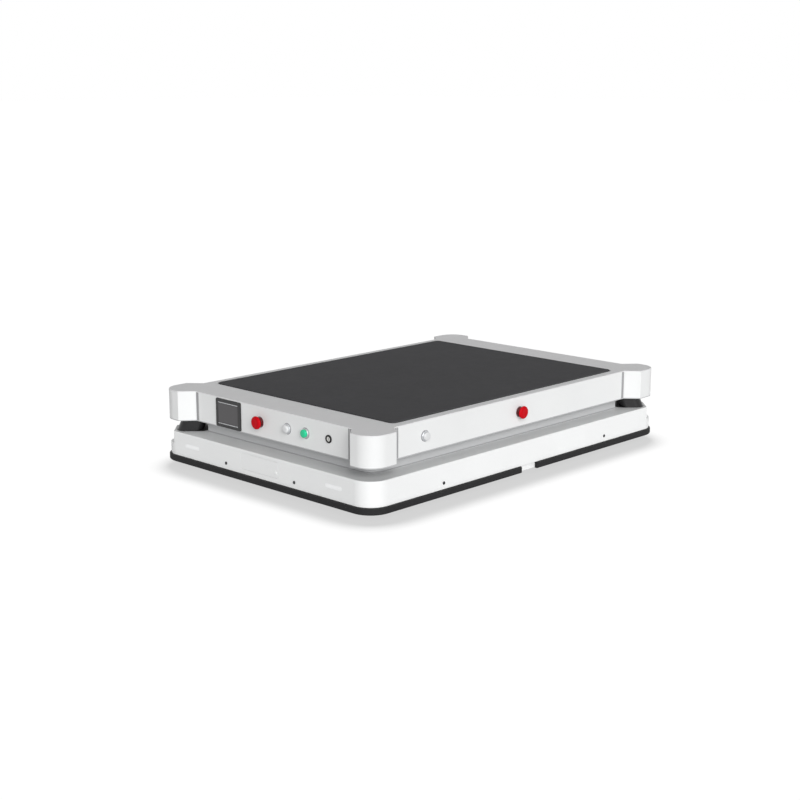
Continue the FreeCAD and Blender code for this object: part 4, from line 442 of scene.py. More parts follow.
@dataclass
class Assembly:
    """A sub-assembly of the dress, with the hand tools that build its pieces."""

    wardrobe: Wardrobe

    def build(self) -> None:
        """Makes every piece; each kind of sub-assembly has its own."""
        raise NotImplementedError

    @staticmethod
    def pick(*pieces: Piece) -> None:
        """Selects these pieces and no others, the first as the active one.

        Args:
            pieces: the pieces to select.
        """
        bpy.ops.object.select_all(action="DESELECT")
        for piece in pieces:
            piece.select_set(True)
        bpy.context.view_layer.objects.active = pieces[0]

    @staticmethod
    def start(adder: Callable[..., object], **settings: object) -> Piece:
        """Adds a primitive with nothing else selected and opens it for editing.

        Args:
            adder: the operator that adds the primitive.
            settings: its size and place.

        Returns:
            The new object, in edit mode and all selected.
        """
        bpy.ops.object.select_all(action="DESELECT")
        adder(**settings)
        piece = bpy.context.object
        bpy.ops.object.mode_set(mode="EDIT")
        bpy.ops.mesh.select_all(action="SELECT")
        return piece

    @staticmethod
    def choose(piece: Piece, test: Callable[[Vector], bool]) -> None:
        """Selects the corners of an open mesh whose place passes a test, and no others.

        Args:
            piece: the object being edited, in vertex mode.
            test: tells whether a place is wanted.
        """
        bpy.ops.mesh.select_all(action="DESELECT")
        mesh = bmesh.from_edit_mesh(piece.data)
        for corner in mesh.verts:
            corner.select_set(test(corner.co))
        bmesh.update_edit_mesh(piece.data)

    @staticmethod
    def extrude(move: Place) -> None:
        """Extrudes the selected faces by a move."""
        bpy.ops.mesh.extrude_region_move(TRANSFORM_OT_translate={"value": move})

    @staticmethod
    def label(piece: Piece, name: str) -> Piece:
        """Names a piece and its mesh, and returns it."""
        piece.name = piece.data.name = name
        return piece

    def close(self, piece: Piece, name: str) -> Piece:
        """Cleans the mesh, makes its faces point outwards and puts the object at the origin.

        Args:
            piece: the object being edited.
            name: its final name.

        Returns:
            The same object, in object mode.
        """
        bpy.ops.mesh.select_all(action="SELECT")
        bpy.ops.mesh.remove_doubles(threshold=MERGE_DISTANCE)
        bpy.ops.mesh.normals_make_consistent(inside=False)
        bpy.ops.object.mode_set(mode="OBJECT")
        bpy.ops.object.transform_apply(location=True, rotation=True, scale=True)
        return self.label(piece, name)

    def turned(self, name: str, stations: Steps, segments: int = 64,
               hollow: bool = False) -> Piece:
        """Extrudes a ring of points along its axis through stations of radius and height.

        Args:
            name: name of the piece.
            stations: radius and height of each step.
            segments: number of sides.
            hollow: True for a ring whose last station meets the first.

        Returns:
            The closed piece, standing on the origin's axis.
        """
        radius, height = stations[0]
        piece = self.start(bpy.ops.mesh.primitive_circle_add, vertices=segments, radius=radius,
                           fill_type="NOTHING" if hollow else "NGON", location=(0, 0, height))
        for (before, low), (after, high) in zip(stations, stations[1:]):
            move = (0, 0, high - low)
            if hollow:
                bpy.ops.mesh.extrude_edges_move(TRANSFORM_OT_translate={"value": move})
            else:
                self.extrude(move)
            share = after / before
            bpy.ops.transform.resize(value=(share, share, 1), center_override=(0, 0, high))
        return self.close(piece, name)

    def block(self, name: str, low: Place, high: Place, edge: float = 0.0,
              steps: int = 2) -> Piece:
        """Makes a block between two corners with rounded edges.

        Args:
            name: name of the piece.
            low: lowest corner.
            high: highest corner.
            edge: radius of its edges.
            steps: segments of the rounding.

        Returns:
            The block.
        """
        middle = [(a + b) / 2 for a, b in zip(low, high)]
        extent = [b - a for a, b in zip(low, high)]
        piece = self.start(bpy.ops.mesh.primitive_cube_add, size=1, location=middle)
        bpy.ops.transform.resize(value=extent, center_override=middle)
        if edge:
            bpy.ops.mesh.bevel(offset=edge, segments=steps, affect="EDGES")
        return self.close(piece, name)

    @staticmethod
    def put(piece: Piece, place: Place, facing: Facing) -> Piece:
        """Moves a piece's mesh to a place, its vertical axis facing the given way."""
        piece.data.transform(Matrix.Translation(place) @ facing.turn())
        return piece

    def join(self, pieces: Sequence[Piece], name: str) -> Piece:
        """Joins pieces of one body into one object.

        Args:
            pieces: the pieces to join.
            name: name of the joined piece.

        Returns:
            The joined piece.
        """
        self.pick(*pieces)
        bpy.ops.object.join()
        return self.label(bpy.context.object, name)

    def repeat(self, pattern: Piece, places: Sequence[Spot],
               name: str) -> Piece:
        """Puts one copy of a pattern at each place and joins them.

        Args:
            pattern: the piece to copy, standing at the origin; it is removed.
            places: place and facing of each copy.
            name: name of the joined piece.

        Returns:
            The joined piece.
        """
        copies = []
        for place, facing in places:
            twin = pattern.copy()
            twin.data = pattern.data.copy()
            bpy.context.scene.collection.objects.link(twin)
            copies.append(self.put(twin, place, facing))
        bpy.data.objects.remove(pattern)
        return self.join(copies, name)

    def bolt_head(self, across: float, height: float) -> Piece:
        """Makes a hexagon head on its washer.

        Args:
            across: width across the flats.
            height: height of the head above the face that it sits on.

        Returns:
            Washer and head as one object at the origin.
        """
        radius = across / math.sqrt(3)
        steps = ((1.25, -0.2), (1.25, 1.0), (1.18, 1.2), (0.3, 1.2))
        washer = self.turned("washer", millimetres(steps, radius / MM), 32)
        head = self.turned("head", [(radius, 1.1 * MM), (radius, height - 0.4 * MM),
                                    (radius * 0.9, height), (radius * 0.2, height)], 6)
        return self.join([washer, head], "bolt_head")

    def carve(self, piece: Piece, tool: Piece) -> None:
        """Cuts one piece out of another and removes the tool.

        Args:
            piece: the piece that is cut.
            tool: the piece that cuts.
        """
        self.pick(piece)
        cut = piece.modifiers.new("cut", "BOOLEAN")
        cut.operation = "DIFFERENCE"
        cut.solver = "EXACT"
        cut.object = tool
        bpy.ops.object.modifier_apply(modifier=cut.name)
        bpy.data.objects.remove(tool)

    def finish(self, piece: Piece, finish: str, body: str, slot: str,
               replaced: Sequence[str] = ()) -> None:
        """Smooths, dresses and mounts a piece.

        Args:
            piece: the finished mesh.
            finish: name of its finish.
            body: body that it moves with.
            slot: slot of the record that its finish belongs to; not used.
            replaced: solids that it stands for.
        """
        self.pick(piece)
        bpy.ops.object.shade_smooth_by_angle(angle=SMOOTH_ANGLE)
        self.wardrobe.dress(piece, finish)
        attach(piece, body)
        if replaced:
            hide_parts(*replaced)
        log.info("%s rides on %s", piece.name, body)


# --- Controls ---

class KnobShape(Enum):
    """Kinds of knob, as radius of the stem, then radius and depth below the tip of each step."""

    MUSHROOM = (7, (18, 8.5), (19.4, 8.075), (20, 7.225), (20, 4.76), (19.7, 3.57), (18.8, 2.465),
                (17.2, 1.36), (15.2, 0.595), (12.8, 0.085), (10.4, 0), (7.6, 0.255), (4, 0.51),
                (0.8, 0.595))
    DOME = (8, (11.64, 8), (12, 7.6), (12, 3), (11.76, 2.1), (11.04, 1.3), (10.08, 0.9),
            (9.6, 0.95), (9.36, 0.7), (7.92, 0.35), (5.4, 0.1), (2.4, 0), (0.36, 0))


@dataclass
class Knob(Assembly):
    """Head of an emergency stop, or cap of a push button, that slides in its collar."""

    node: str
    piece: str
    body: str
    colour: str
    facing: Facing
    shape: KnobShape
    segments: int

    def build(self) -> None:
        """Makes the knob in place of its solid."""
        axis = Vector(self.facing.value)
        back, tip = sorted(corner.dot(axis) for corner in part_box(self.node))
        middle = middle_of(self.node)
        foot = middle - axis * middle.dot(axis) + axis * back
        stem, *steps = self.shape.value
        rest = tip - back - steps[0][1] * MM
        stations = [(stem * MM, 0.0), (stem * MM, rest)]
        stations += [(radius * MM, tip - back - depth * MM) for radius, depth in steps]
        knob = self.put(self.turned(self.piece, stations, self.segments), tuple(foot), self.facing)
        self.finish(knob, self.colour, self.body, self.colour, (self.node,))


@dataclass
class ControlFittings(Assembly):
    """Emergency stops, buttons, sealing rings, painted-shade strips and the display's highlight
    trim.
    """

    stops: tuple[tuple[str, Facing], ...] = (
        ("front", Facing.FRONT), ("left", Facing.LEFT), ("right", Facing.RIGHT))
    buttons: tuple[tuple[str, str, Facing], ...] = (
        ("front_white", "white_plastic", Facing.FRONT),
        ("front_green", "green_plastic", Facing.FRONT),
        ("left_white", "white_plastic", Facing.LEFT))
    seal_radius: float = 16.2 * MM
    seal_wire: float = 0.9 * MM
    groove_width: float = 8 * MM
    groove_depth: float = 1.5 * MM
    # Grey strips in the panel-end grooves and on the panel beside them are painted shade, darkening
    # the panel ends by the pods.
    strip_play: float = 0.2 * MM
    strip_depth: float = 0.4 * MM
    strip_edge: float = 0.1 * MM
    shade_lip_width: float = 6 * MM
    # The display strips are raised border strips; their pale colour is a painted highlight on the
    # bezel's inner edges.
    trim_gap: float = 1.4 * MM
    trim_width: float = 2.6 * MM
    trim_depth: float = 0.8 * MM
    trim_sunk: float = 0.2 * MM
    trim_edge: float = 0.3 * MM

    def build(self) -> None:
        """Makes all fittings of the panels."""
        for name, facing in self.stops:
            Knob(self.wardrobe, f"{name}_estop_head", f"{name}_estop_cap", f"{name}_estop",
                 "red_plastic", facing, KnobShape.MUSHROOM, 72).build()
        for name, colour, facing in self.buttons:
            Knob(self.wardrobe, f"{name}_button", f"{name}_cap", f"{name}_key_cap",
                 colour, facing, KnobShape.DOME, 56).build()
        self._seals()
        self._painted_shade_strips()
        self._display_highlight_trim()

    def _seals(self) -> None:
        """Makes the thin sealing ring behind the collar of each emergency stop and push button."""
        face_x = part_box("front_panel")[1].x
        face_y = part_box("left_panel")[1].y
        level = middle_of("key_barrel").z
        places: list[Spot] = []
        for node in ("front_estop_head", "front_white_button", "front_green_button"):
            places.append(((face_x, middle_of(node).y, level), Facing.FRONT))
        for node in ("left_estop_head", "left_white_button"):
            places.append(((middle_of(node).x, face_y, level), Facing.LEFT))
        places.append(((middle_of("right_estop_head").x, -face_y, level), Facing.RIGHT))
        wire, radius = self.seal_wire, self.seal_radius
        stations = ((radius - wire, 0), (radius + wire * 0.6, 0), (radius + wire, wire * 0.5),
                    (radius + wire * 0.6, wire), (radius - wire, wire), (radius - wire, 0))
        ring = self.turned("control_seal", stations, 48, hollow=True)
        self.finish(self.repeat(ring, places, "control_seals"), "grey_seal_and_painted_shade", "chassis", "rubber")

    def _painted_shade_strips(self) -> None:
        """Makes painted shade at the panel ends: grey strips in the grooves, and grey lips on the
        panel beside them.
        """
        strips = []
        for node in ("front_panel", "rear_panel", "left_panel", "right_panel"):
            low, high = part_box(node)
            thin = 0 if high.x - low.x < high.y - low.y else 1
            along = 1 - thin
            outwards = 1 if (low + high)[thin] > 0 else -1
            face = high[thin] if outwards > 0 else low[thin]
            floor = face - outwards * self.groove_depth
            last = high[along] - self.groove_width
            for groove, lip in ((low[along], low[along] + self.groove_width),
                                (last, last - self.shade_lip_width)):
                start, stop = groove + self.strip_play, groove + self.groove_width - self.strip_play
                for near, far, level in ((start, stop, floor), (lip, lip + self.shade_lip_width, face)):
                    first, second = list(low), list(high)
                    first[along], second[along] = near, far
                    first[thin], second[thin] = sorted((level, level + outwards * self.strip_depth))
                    strips.append(self.block("strip", tuple(first), tuple(second),
                                             self.strip_edge, 1))
        self.finish(self.join(strips, "panel_painted_shade_strips"), "grey_seal_and_painted_shade", "chassis", "rubber")

    def _display_highlight_trim(self) -> None:
        """Makes the two raised strips above and below the glass, pale to paint the highlight on the
        bezel's inner edges.
        """
        low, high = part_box("display_screen")
        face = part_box("display_bezel")[1].x
        strips = []
        for start in (low.z - self.trim_gap - self.trim_width, high.z + self.trim_gap):
            strips.append(self.block(
                "strip", (face - self.trim_sunk, low.y, start),
                (face + self.trim_depth, high.y, start + self.trim_width), self.trim_edge))
        self.finish(self.join(strips, "display_highlight_trim"), "painted_highlight_trim", "chassis", "zinc_steel")


# --- Skirt ---

@dataclass
class SkirtFittings(Assembly):
    """Button-head screws, lamp rows, lock of the charge port and the seal of the neck.

    Offsets are measured from the robot's middle, and the lock's level from the cover's middle.
    """

    screw_end_offset: float = 156 * MM
    screw_side_offset: float = 393 * MM
    screw_shank: Station = (3 * MM, -12 * MM)
    screw_head: float = 5 * MM
    screw_dome: Steps = (
        (1.0, 0.1), (1.0, 0.7), (0.93, 1.4), (0.78, 2.0), (0.6, 2.4), (0.05, 2.5))
    socket: Steps = ((2.6, 0.8), (2.6, 4))
    lamp_offset: float = 323 * MM
    lamp_dots: int = 8
    lamp_pitch: float = 7.4 * MM
    lamp_dot: Steps = ((1.7, 0), (1.7, 0.15), (1.3, 0.35), (0.1, 0.4))
    lock_across: float = 73 * MM
    lock_drop: float = 8.5 * MM
    lock_face: Steps = ((5.6, -0.6), (5.6, 0.5), (5.0, 0.9), (0.3, 0.9))
    lock_slot: Place = (3.6 * MM, 0.6 * MM, 0.2 * MM)
    lock_slot_top: float = 2 * MM
    neck_setback: float = 29 * MM
    neck_corner: float = 45 * MM
    neck_bevel: float = 152 * MM
    seal_width: float = 2.2 * MM
    seal_height: float = 2.4 * MM

    @property
    def face(self) -> Vector:
        """Corner of the skirt's outer faces."""
        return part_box("skirt_shell")[1]

    def build(self) -> None:
        """Makes all fittings of the skirt."""
        self._screws()
        self._lamp_dots()
        self._lock()
        self._neck_seal()

    def _screws(self) -> None:
        """Makes the eight screws with their hexagon sockets."""
        level = middle_of("skirt_screws").z
        shank, depth = self.screw_shank
        dome = [(self.screw_head * share, height * MM) for share, height in self.screw_dome]
        pattern = self.turned("skirt_screw", [(shank, depth), (shank, dome[0][1]), *dome], 40)
        self.carve(pattern, self.turned("socket", millimetres(self.socket), 6))
        face = self.face
        places: list[Spot] = []
        for side in (1, -1):
            for end, facing in ((1, Facing.FRONT), (-1, Facing.REAR)):
                places.append(((end * face.x, side * self.screw_end_offset, level), facing))
            for end, facing in ((1, Facing.LEFT), (-1, Facing.RIGHT)):
                places.append(((side * self.screw_side_offset, end * face.y, level), facing))
        screws = self.repeat(pattern, places, "skirt_button_screws")
        self.finish(screws, "black_steel", "chassis", "zinc_steel", ("skirt_screws",))

    def _lamp_dots(self) -> None:
        """Makes the row of small emitters that shows through each lens."""
        level = middle_of("lamp_lenses").z
        dot = self.turned("emitter", millimetres(self.lamp_dot), 16)
        places: list[Spot] = []
        for end, facing in ((1, Facing.FRONT), (-1, Facing.REAR)):
            for side in (1, -1):
                for index in range(self.lamp_dots):
                    step = (index - (self.lamp_dots - 1) / 2) * self.lamp_pitch
                    across = side * self.lamp_offset + step
                    places.append(((end * self.face.x, across, level), facing))
        dots = self.repeat(dot, places, "lamp_emitters")
        self.finish(dots, "lamp_lens", "chassis", "lamp_lens")

    def _lock(self) -> None:
        """Makes the slotted face of the charge port's quarter-turn lock."""
        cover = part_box("charge_port_cover")[1].x
        place = (cover, self.lock_across, middle_of("charge_port_cover").z - self.lock_drop)
        face = self.turned("port_lock", millimetres(self.lock_face), 40)
        length, width, floor = self.lock_slot
        self.carve(face, self.block("slot", (-length, -width, floor),
                                    (length, width, self.lock_slot_top)))
        self.put(face, place, Facing.FRONT)
        self.finish(face, "grey_cover", "chassis", "grey_cover")

    def _neck_seal(self) -> None:
        """Makes the bead at the foot of the neck, with its two rounded and two cut corners."""
        deck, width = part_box("plinth_frame")[0].z, self.seal_width
        half_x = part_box("front_panel")[1].x - self.neck_setback + width
        half_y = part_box("left_panel")[1].y - self.neck_setback + width
        far = half_x + half_y
        bevel = far - self.face.x - self.face.y + self.neck_bevel * math.sqrt(2)
        middle = (0, 0, deck)
        piece = self.start(bpy.ops.mesh.primitive_plane_add, size=2, location=middle)
        bpy.ops.transform.resize(value=(half_x, half_y, 1), center_override=middle)
        bpy.ops.mesh.select_mode(type="VERT")
        self.choose(piece, lambda place: place.x * place.y > 0)
        bpy.ops.mesh.bevel(offset=self.neck_corner, segments=8, affect="VERTICES")
        self.choose(piece, lambda place: abs(place.x - place.y) > far - MM)
        bpy.ops.mesh.bevel(offset=bevel, segments=1, affect="VERTICES")
        bpy.ops.mesh.select_mode(type="FACE")
        bpy.ops.mesh.select_all(action="SELECT")
        bpy.ops.mesh.inset(thickness=width * 1.5)
        bpy.ops.mesh.delete(type="FACE")
        bpy.ops.mesh.select_all(action="SELECT")
        self.extrude((0, 0, self.seal_height))
        self.finish(self.close(piece, "neck_seal"), "grey_seal_and_painted_shade", "chassis", "rubber")


# --- Running gear ---

@dataclass
class DriveFittings(Assembly):
    """Hub bolts, grooved tyre and terminal box of one drive module.

    Steps of the wheel are in mm: inwards from the rim, and back from the wheel's face.
    """

    side: str
    facing: Facing
    bolts: int = 6
    bolt: Station = (8 * MM, 5 * MM)
    bolt_circle: float = 22 * MM
    track: float = 690 * MM
    shaft: Station = (15 * MM, -47 * MM)
    half_width: float = 25 * MM
    inner_face: Steps = ((13, 0), (12, 0.6), (11, 0), (5, 0), (1.4, 1.6), (0, 5))
    outer_face: Steps = ((0, 5), (1.4, 1.6), (5, 0), (12, 0), (12, 12))
    hub: Steps = ((32, -12), (32, 2.4), (31.4, 3), (0.5, 3))
    grooves: int = 3
    groove_pitch: float = 11 * MM
    groove: Steps = ((0, -1.5), (2, -1.1), (2, 1.1), (0, 1.5))
    box_near: float = 150 * MM
    box_far: float = 200 * MM
    box_half: float = 22 * MM
    box_sunk: float = 12 * MM
    box_height: float = 8 * MM
    box_edge: float = 3 * MM
    gland: Steps = ((7, 0), (7, 6), (5.4, 7), (5.4, 12), (4, 13), (0.3, 13))
    gland_place: Station = (21 * MM, -2 * MM)

    def build(self) -> None:
        """Makes the fittings of the module."""
        self._hub()
        self._tyre()
        self._motor_box()

    def _hub(self) -> None:
        """Makes the ring of bolts on the hub."""
        low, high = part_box(f"{self.side}_drive_wheel")
        face = high.y if self.facing is Facing.LEFT else low.y
        middle = (low + high) / 2
        places = []
        for index in range(self.bolts):
            angle = math.tau * index / self.bolts
            places.append(((middle.x + self.bolt_circle * math.cos(angle), face,
                            middle.z + self.bolt_circle * math.sin(angle)), self.facing))
        bolts = self.repeat(self.bolt_head(*self.bolt), places, f"{self.side}_hub_bolts")
        self.finish(bolts, "zinc_steel", f"{self.side}_wheel", "zinc_steel")

    def _tyre(self) -> None:
        """Makes the wheel with a grooved tread in place of its solid."""
        node = f"{self.side}_drive_wheel"
        low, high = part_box(node)
        rim, half = (high.x - low.x) / 2, self.half_width
        stations = [self.shaft, (self.shaft[0], -half)]
        stations += [(rim - inwards * MM, back * MM - half) for inwards, back in self.inner_face]
        for index in range(self.grooves):
            across = (index - (self.grooves - 1) / 2) * self.groove_pitch
            stations += [(rim - depth * MM, across + step * MM) for depth, step in self.groove]
        stations += [(rim - inwards * MM, half - back * MM) for inwards, back in self.outer_face]
        stations += [(radius * MM, half + proud * MM) for radius, proud in self.hub]
        piece = self.turned(f"{self.side}_grooved_wheel", stations, 96)
        middle = self.track / 2 * self.facing.value[1]
        self.put(piece, (0, middle, middle_of(node).z), self.facing)
        self.finish(piece, "drive_tyre", f"{self.side}_wheel", "drive_tyre", (node,))

    def _motor_box(self) -> None:
        """Makes the terminal box with its cable gland on the drive motor."""
        low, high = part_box(f"{self.side}_gearmotor")
        middle, outwards = (low + high) / 2, self.facing.value[1]
        start, stop = sorted((outwards * self.box_near, outwards * self.box_far))
        box = self.block("terminal_box", (middle.x - self.box_half, start, high.z - self.box_sunk),
                         (middle.x + self.box_half, stop, high.z + self.box_height),
                         self.box_edge, 3)
        ahead, up = self.gland_place
        gland = self.turned("gland", millimetres(self.gland), 6)
        self.put(gland, (middle.x + ahead, (start + stop) / 2, high.z + up), Facing.FRONT)
        joined = self.join([box, gland], f"{self.side}_motor_box")
        self.finish(joined, "motor_metal", f"{self.side}_drive_arm", "motor_metal")


@dataclass
class CastorFittings(Assembly):
    """Axle nuts, plate bolts and rounded wheels of the four castors."""

    corners: tuple[tuple[str, str], ...] = (
        ("front", "left"), ("rear", "left"), ("rear", "right"), ("front", "right"))
    nut: Station = (17 * MM, 7 * MM)
    fork_half: float = 23 * MM
    trail: float = 30 * MM
    bolt: Station = (13 * MM, 6.4 * MM)
    bolt_along: float = 40 * MM
    bolt_across: float = 34 * MM
    plate: float = 6 * MM
    bore: float = 6.1 * MM
    half_width: float = 16 * MM

    def build(self) -> None:
        """Makes the fittings of all castors."""
        bolts: list[Spot] = []
        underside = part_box("castor_plates")[1].z - self.plate
        for end, side in self.corners:
            name = f"{end}_{side}_castor"
            axle = middle_of(f"{name}_wheel")
            nuts = [((axle.x, axle.y + self.fork_half, axle.z), Facing.LEFT),
                    ((axle.x, axle.y - self.fork_half, axle.z), Facing.RIGHT)]
            joined = self.repeat(self.bolt_head(*self.nut), nuts, f"{name}_axle_nuts")
            self.finish(joined, "zinc_steel", f"{name}_swivel", "zinc_steel")
            self._wheel(name, axle)
            for along in (-self.bolt_along, self.bolt_along):
                for across in (-self.bolt_across, self.bolt_across):
                    place = (axle.x + self.trail + along, axle.y + across, underside)
                    bolts.append((place, Facing.DOWN))
        joined = self.repeat(self.bolt_head(*self.bolt), bolts, "castor_plate_bolts")
        self.finish(joined, "zinc_steel", "chassis", "zinc_steel")

    def _wheel(self, name: str, axle: Vector) -> None:
        """Makes one wheel with rounded tread, disc and hub in place of its solid.

        Args:
            name: name of the castor.
            axle: middle of the wheel.
        """
        node, half = f"{name}_wheel", self.half_width
        low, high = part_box(node)
        rim = (high.x - low.x) / 2
        disc = half - 4 * MM
        side = [(self.bore, half), (14 * MM, half), (15 * MM, half - 1 * MM), (17 * MM, disc),
                (rim * 0.72, disc), (rim * 0.75, half - 0.4 * MM), (rim - 5 * MM, half),
                (rim - 2.2 * MM, half - 1 * MM), (rim - 0.5 * MM, half - 3 * MM),
                (rim, half - 6 * MM)]
        stations = [(radius, -height) for radius, height in side] + side[::-1]
        stations.append((self.bore, -half))
        piece = self.turned(f"{name}_tread_wheel", stations, 72, hollow=True)
        self.put(piece, tuple(axle), Facing.LEFT)
        self.finish(piece, "castor_tyre", f"{name}_roller", "castor_tyre", (node,))


# --- Inside ---

@dataclass
class InnerFittings(Assembly):
    """Battery handles and plug, plugs of the electronics, and the thread of the lift screw."""

    handle_radius: float = 4 * MM
    handle_offset: float = 100 * MM
    handle_reach: float = 45 * MM
    handle_foot: float = 1 * MM
    handle_leg: float = 3 * MM
    handle_rise: float = 0.22
    plug_along: Station = (70 * MM, 34 * MM)
    plug_half: float = 24 * MM
    plug_height: float = 14 * MM
    plug_edge: float = 3 * MM
    sockets: int = 6
    socket_level: float = 45 * MM
    socket_shape: Steps = (
        (11, -0.2), (11, 2), (9, 3), (9, 15), (8.2, 16), (5, 17), (4, 24), (0.4, 24.5))
    core: float = 13.5 * MM
    thread: float = 16 * MM
    thread_sunk: float = 1 * MM
    thread_width: float = 5.4 * MM
    thread_start: float = 6 * MM
    pitch: float = 10 * MM
    collar: float = 24 * MM
    collar_low: float = 114.5 * MM
    collar_high: float = 135 * MM

    def build(self) -> None:
        """Makes the fittings inside the robot."""
        self._battery()
        self._electronics()
        self._screw()

    def _battery(self) -> None:
        """Makes two carrying handles and the plug of the battery."""
        low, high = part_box("battery_pack")
        middle, top = (low + high) / 2, high.z
        foot, leg = top - self.handle_foot, self.handle_leg
        flatten = (Matrix.Translation((0, 0, top)) @ Matrix.Diagonal((1, 1, self.handle_rise, 1))
                   @ Matrix.Translation((0, 0, -top)))
        handles = []
        for sign in (1, -1):
            x = middle.x + sign * self.handle_offset
            piece = self.start(bpy.ops.mesh.primitive_circle_add, vertices=12,
                               radius=self.handle_radius, fill_type="NGON",
                               location=(x, middle.y - self.handle_reach, foot))
            self.extrude((0, 0, leg))
            bpy.ops.mesh.spin(steps=8, angle=-math.pi, center=(x, middle.y, foot + leg),
                              axis=(1, 0, 0))
            self.extrude((0, 0, -leg))
            self.close(piece, "handle")
            piece.data.transform(flatten)
            handles.append(piece)
        back, front = (high.x - reach for reach in self.plug_along)
        plug = self.block("battery_plug", (back, middle.y - self.plug_half, foot),
                          (front, middle.y + self.plug_half, top + self.plug_height),
                          self.plug_edge, 3)
        handles = self.join(handles, "battery_handles")
        self.finish(handles, "black_steel", "chassis", "battery_case")
        self.finish(plug, "orange_plastic", "chassis", "battery_case")

    def _electronics(self) -> None:
        """Makes the row of round plugs on the electronics box."""
        low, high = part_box("control_box")
        places = []
        for index in range(self.sockets):
            across = low.y + (index + 0.5) / self.sockets * (high.y - low.y)
            places.append(((low.x, across, low.z + self.socket_level), Facing.REAR))
        plug = self.turned("plug", millimetres(self.socket_shape), 20)
        plugs = self.repeat(plug, places, "electronics_plugs")
        self.finish(plugs, "black_steel", "chassis", "box_aluminium")

    def _screw(self) -> None:
        """Makes the lift screw with its thread in place of the plain solid."""
        low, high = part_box("lift_screw")
        core, collar, sunk = self.core, self.collar, self.thread_sunk
        shaft = self.turned("shaft", [
            (core, low.z), (core, self.collar_low), (collar, self.collar_low),
            (collar, self.collar_high), (core, self.collar_high), (core, high.z - MM),
            (core - MM, high.z), (0.3 * MM, high.z)], 48)
        foot = (core + sunk, 0, self.collar_high + self.thread_start)
        ridge = self.start(bpy.ops.mesh.primitive_plane_add, size=1, location=foot,
                           rotation=(math.pi / 2, 0, 0))
        bpy.ops.transform.resize(value=(self.thread - core + sunk, 1, self.thread_width),
                                 center_override=foot)
        bpy.ops.object.mode_set(mode="OBJECT")
        bpy.ops.object.transform_apply(location=True, rotation=True, scale=True)
        wind = ridge.modifiers.new("wind", "SCREW")
        wind.steps = wind.render_steps = 24
        wind.iterations = int((high.z - self.collar_high) / self.pitch) - 1
        wind.screw_offset = self.pitch
        wind.axis = "Z"
        bpy.ops.object.modifier_apply(modifier=wind.name)
        bpy.ops.object.mode_set(mode="EDIT")
        self.close(ridge, "thread")
        screw = self.join([shaft, ridge], "threaded_lift_screw")
        self.finish(screw, "pin_steel", "screw", "pin_steel", ("lift_screw",))


# --- Studio ---

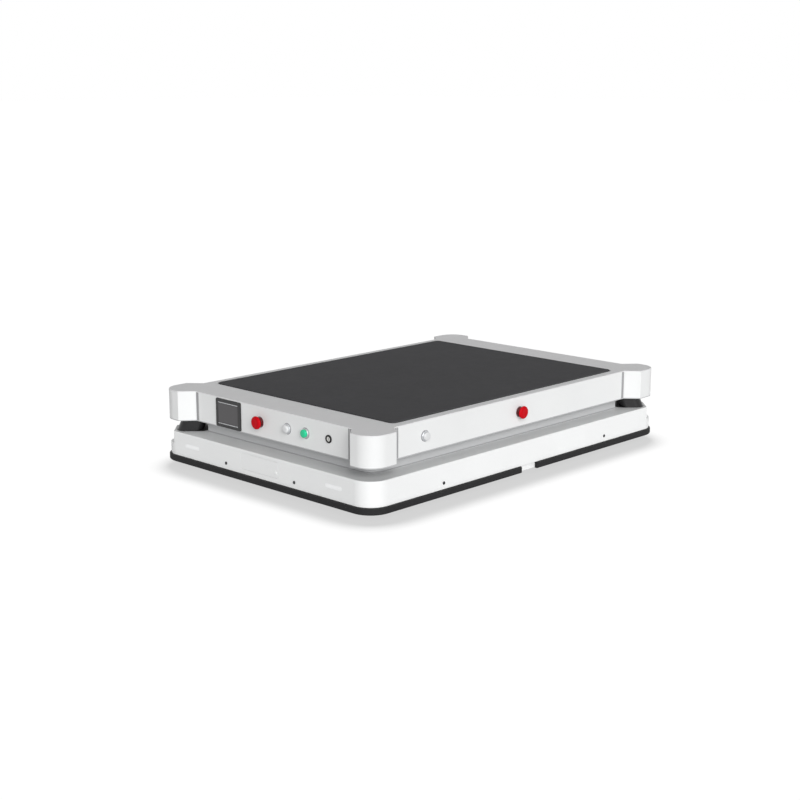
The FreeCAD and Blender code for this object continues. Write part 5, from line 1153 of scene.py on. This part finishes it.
@dataclass
class Studio:
    """Pale floor, soft light and the camera."""

    camera_place: Place = (3.39879, 3.20040, 1.22867)
    yaw: float = math.radians(44.02)
    pitch: float = math.radians(12.68)
    lens: float = 64.83
    view_depth: float = 500.0
    sky: float = 0.2
    key: float = 2.62
    key_turn: float = math.radians(57)
    key_height: float = math.radians(22)
    key_softness: float = math.radians(45)
    floor_size: float = 120.0
    floor_drop: float = 0.2 * MM
    floor_level: float = 0.98
    floor_paint: float = 0.8
    floor_paint_seen: float = 0.08
    shadow_level: float = 0.62
    shadow_reach: float = 0.12
    shadow_start: float = 0.6
    shadow_samples: int = 32

    def build(self) -> None:
        """Makes the camera, the world, the lamp and the floor."""
        self._camera()
        self._world()
        self._lamp()
        self._floor()
        bpy.context.scene.view_settings.view_transform = "Standard"

    @staticmethod
    def _towards(turn: float, height: float) -> Vector:
        """Direction from the robot at a turn about the vertical and a height, as angles."""
        level = math.cos(height)
        return Vector((level * math.cos(turn), level * math.sin(turn), math.sin(height)))

    @staticmethod
    def _hang(name: str, data: bpy.types.ID) -> Piece:
        """Adds a camera or a lamp to the scene.

        Args:
            name: name of the object.
            data: its camera or light.

        Returns:
            The object, which takes a quaternion as its turn.
        """
        piece = bpy.data.objects.new(name, data)
        piece.rotation_mode = "QUATERNION"
        bpy.context.scene.collection.objects.link(piece)
        return piece

    def _camera(self) -> None:
        """Places the camera."""
        data = bpy.data.cameras.new("camera")
        data.lens = self.lens
        data.clip_end = self.view_depth
        camera = self._hang("camera", data)
        camera.location = self.camera_place
        forward = -self._towards(self.yaw, self.pitch)
        camera.rotation_quaternion = forward.to_track_quat("-Z", "Y")
        bpy.context.scene.camera = camera

    @staticmethod
    def _seen_or_lit(tree: Tree, seen: float, lit: float) -> Socket:
        """Chooses a strength for rays that look and another for rays that light.

        Args:
            tree: the node tree to add to.
            seen: strength for camera, mirror and glass rays.
            lit: strength for all other rays.

        Returns:
            The strength socket.
        """
        rays = add_node(tree, "LightPath").outputs
        looks = maths(tree, "MAXIMUM", rays["Is Camera Ray"], rays["Is Glossy Ray"])
        looks = maths(tree, "MAXIMUM", looks, rays["Is Transmission Ray"])
        choice = {"Value": looks, "To Min": lit, "To Max": seen}
        return add_node(tree, "MapRange", choice).outputs["Result"]

    def _world(self) -> None:
        """Makes a white world that lights more gently than it looks."""
        world = bpy.data.worlds.new("studio")
        bpy.context.scene.world = world
        world.use_nodes = True
        tree = world.node_tree
        strength = self._seen_or_lit(tree, 1.0, self.sky)
        fill(tree, tree.nodes["Background"], {"Color": (1, 1, 1, 1), "Strength": strength})

    def _lamp(self) -> None:
        """Makes one soft key light."""
        data = bpy.data.lights.new("key", "SUN")
        data.energy = self.key
        data.angle = self.key_softness
        away = self._towards(self.key_turn, self.key_height)
        self._hang("key", data).rotation_quaternion = away.to_track_quat("Z", "Y")

    def _floor(self) -> None:
        """Makes the pale floor, which keeps the robot's faint cast shadow and a painted contact
        shadow: its glow dims near the robot.
        """
        bpy.ops.object.select_all(action="DESELECT")
        bpy.ops.mesh.primitive_plane_add(size=self.floor_size, location=(0, 0, -self.floor_drop))
        floor = bpy.context.object
        floor.name = "floor"
        material = bpy.data.materials.new("floor_paint")
        material.use_nodes = True
        tree = material.node_tree
        # Painted shadow: an ambient-occlusion node dims the floor's camera-seen glow close to the
        # robot.
        near = add_node(tree, "AmbientOcclusion", {"Distance": self.shadow_reach},
                        samples=self.shadow_samples)
        glow = add_node(tree, "MapRange", {
            "Value": near.outputs["AO"], "From Min": self.shadow_start,
            "To Min": self.shadow_level, "To Max": self.floor_level},
            interpolation_type="SMOOTHSTEP")
        level = self._seen_or_lit(tree, self.floor_paint_seen, self.floor_paint)
        paint = add_node(tree, "CombineColor", {0: level, 1: level, 2: level})
        seen = self._seen_or_lit(tree, 1.0, 0.0)
        fill(tree, tree.nodes["Principled BSDF"], {
            "Base Color": paint.outputs[0], "Roughness": 1.0, "Specular IOR Level": 0.0,
            "Emission Color": (1, 1, 1, 1),
            "Emission Strength": maths(tree, "MULTIPLY", glow.outputs[0], seen)})
        floor.data.materials.append(material)


def main() -> None:
    """Builds the robot's dress and the studio, in order."""
    logging.basicConfig(level=logging.INFO, format="%(name)s: %(message)s")
    wardrobe = Wardrobe()
    wardrobe.dress_solids()
    modules = [DriveFittings(wardrobe, side, facing)
               for side, facing in (("left", Facing.LEFT), ("right", Facing.RIGHT))]
    for assembly in (ControlFittings(wardrobe), SkirtFittings(wardrobe), *modules,
                     CastorFittings(wardrobe), InnerFittings(wardrobe)):
        assembly.build()
        log.info("%s done", type(assembly).__name__)
    Studio().build()


if __name__ == "__main__":
    main()
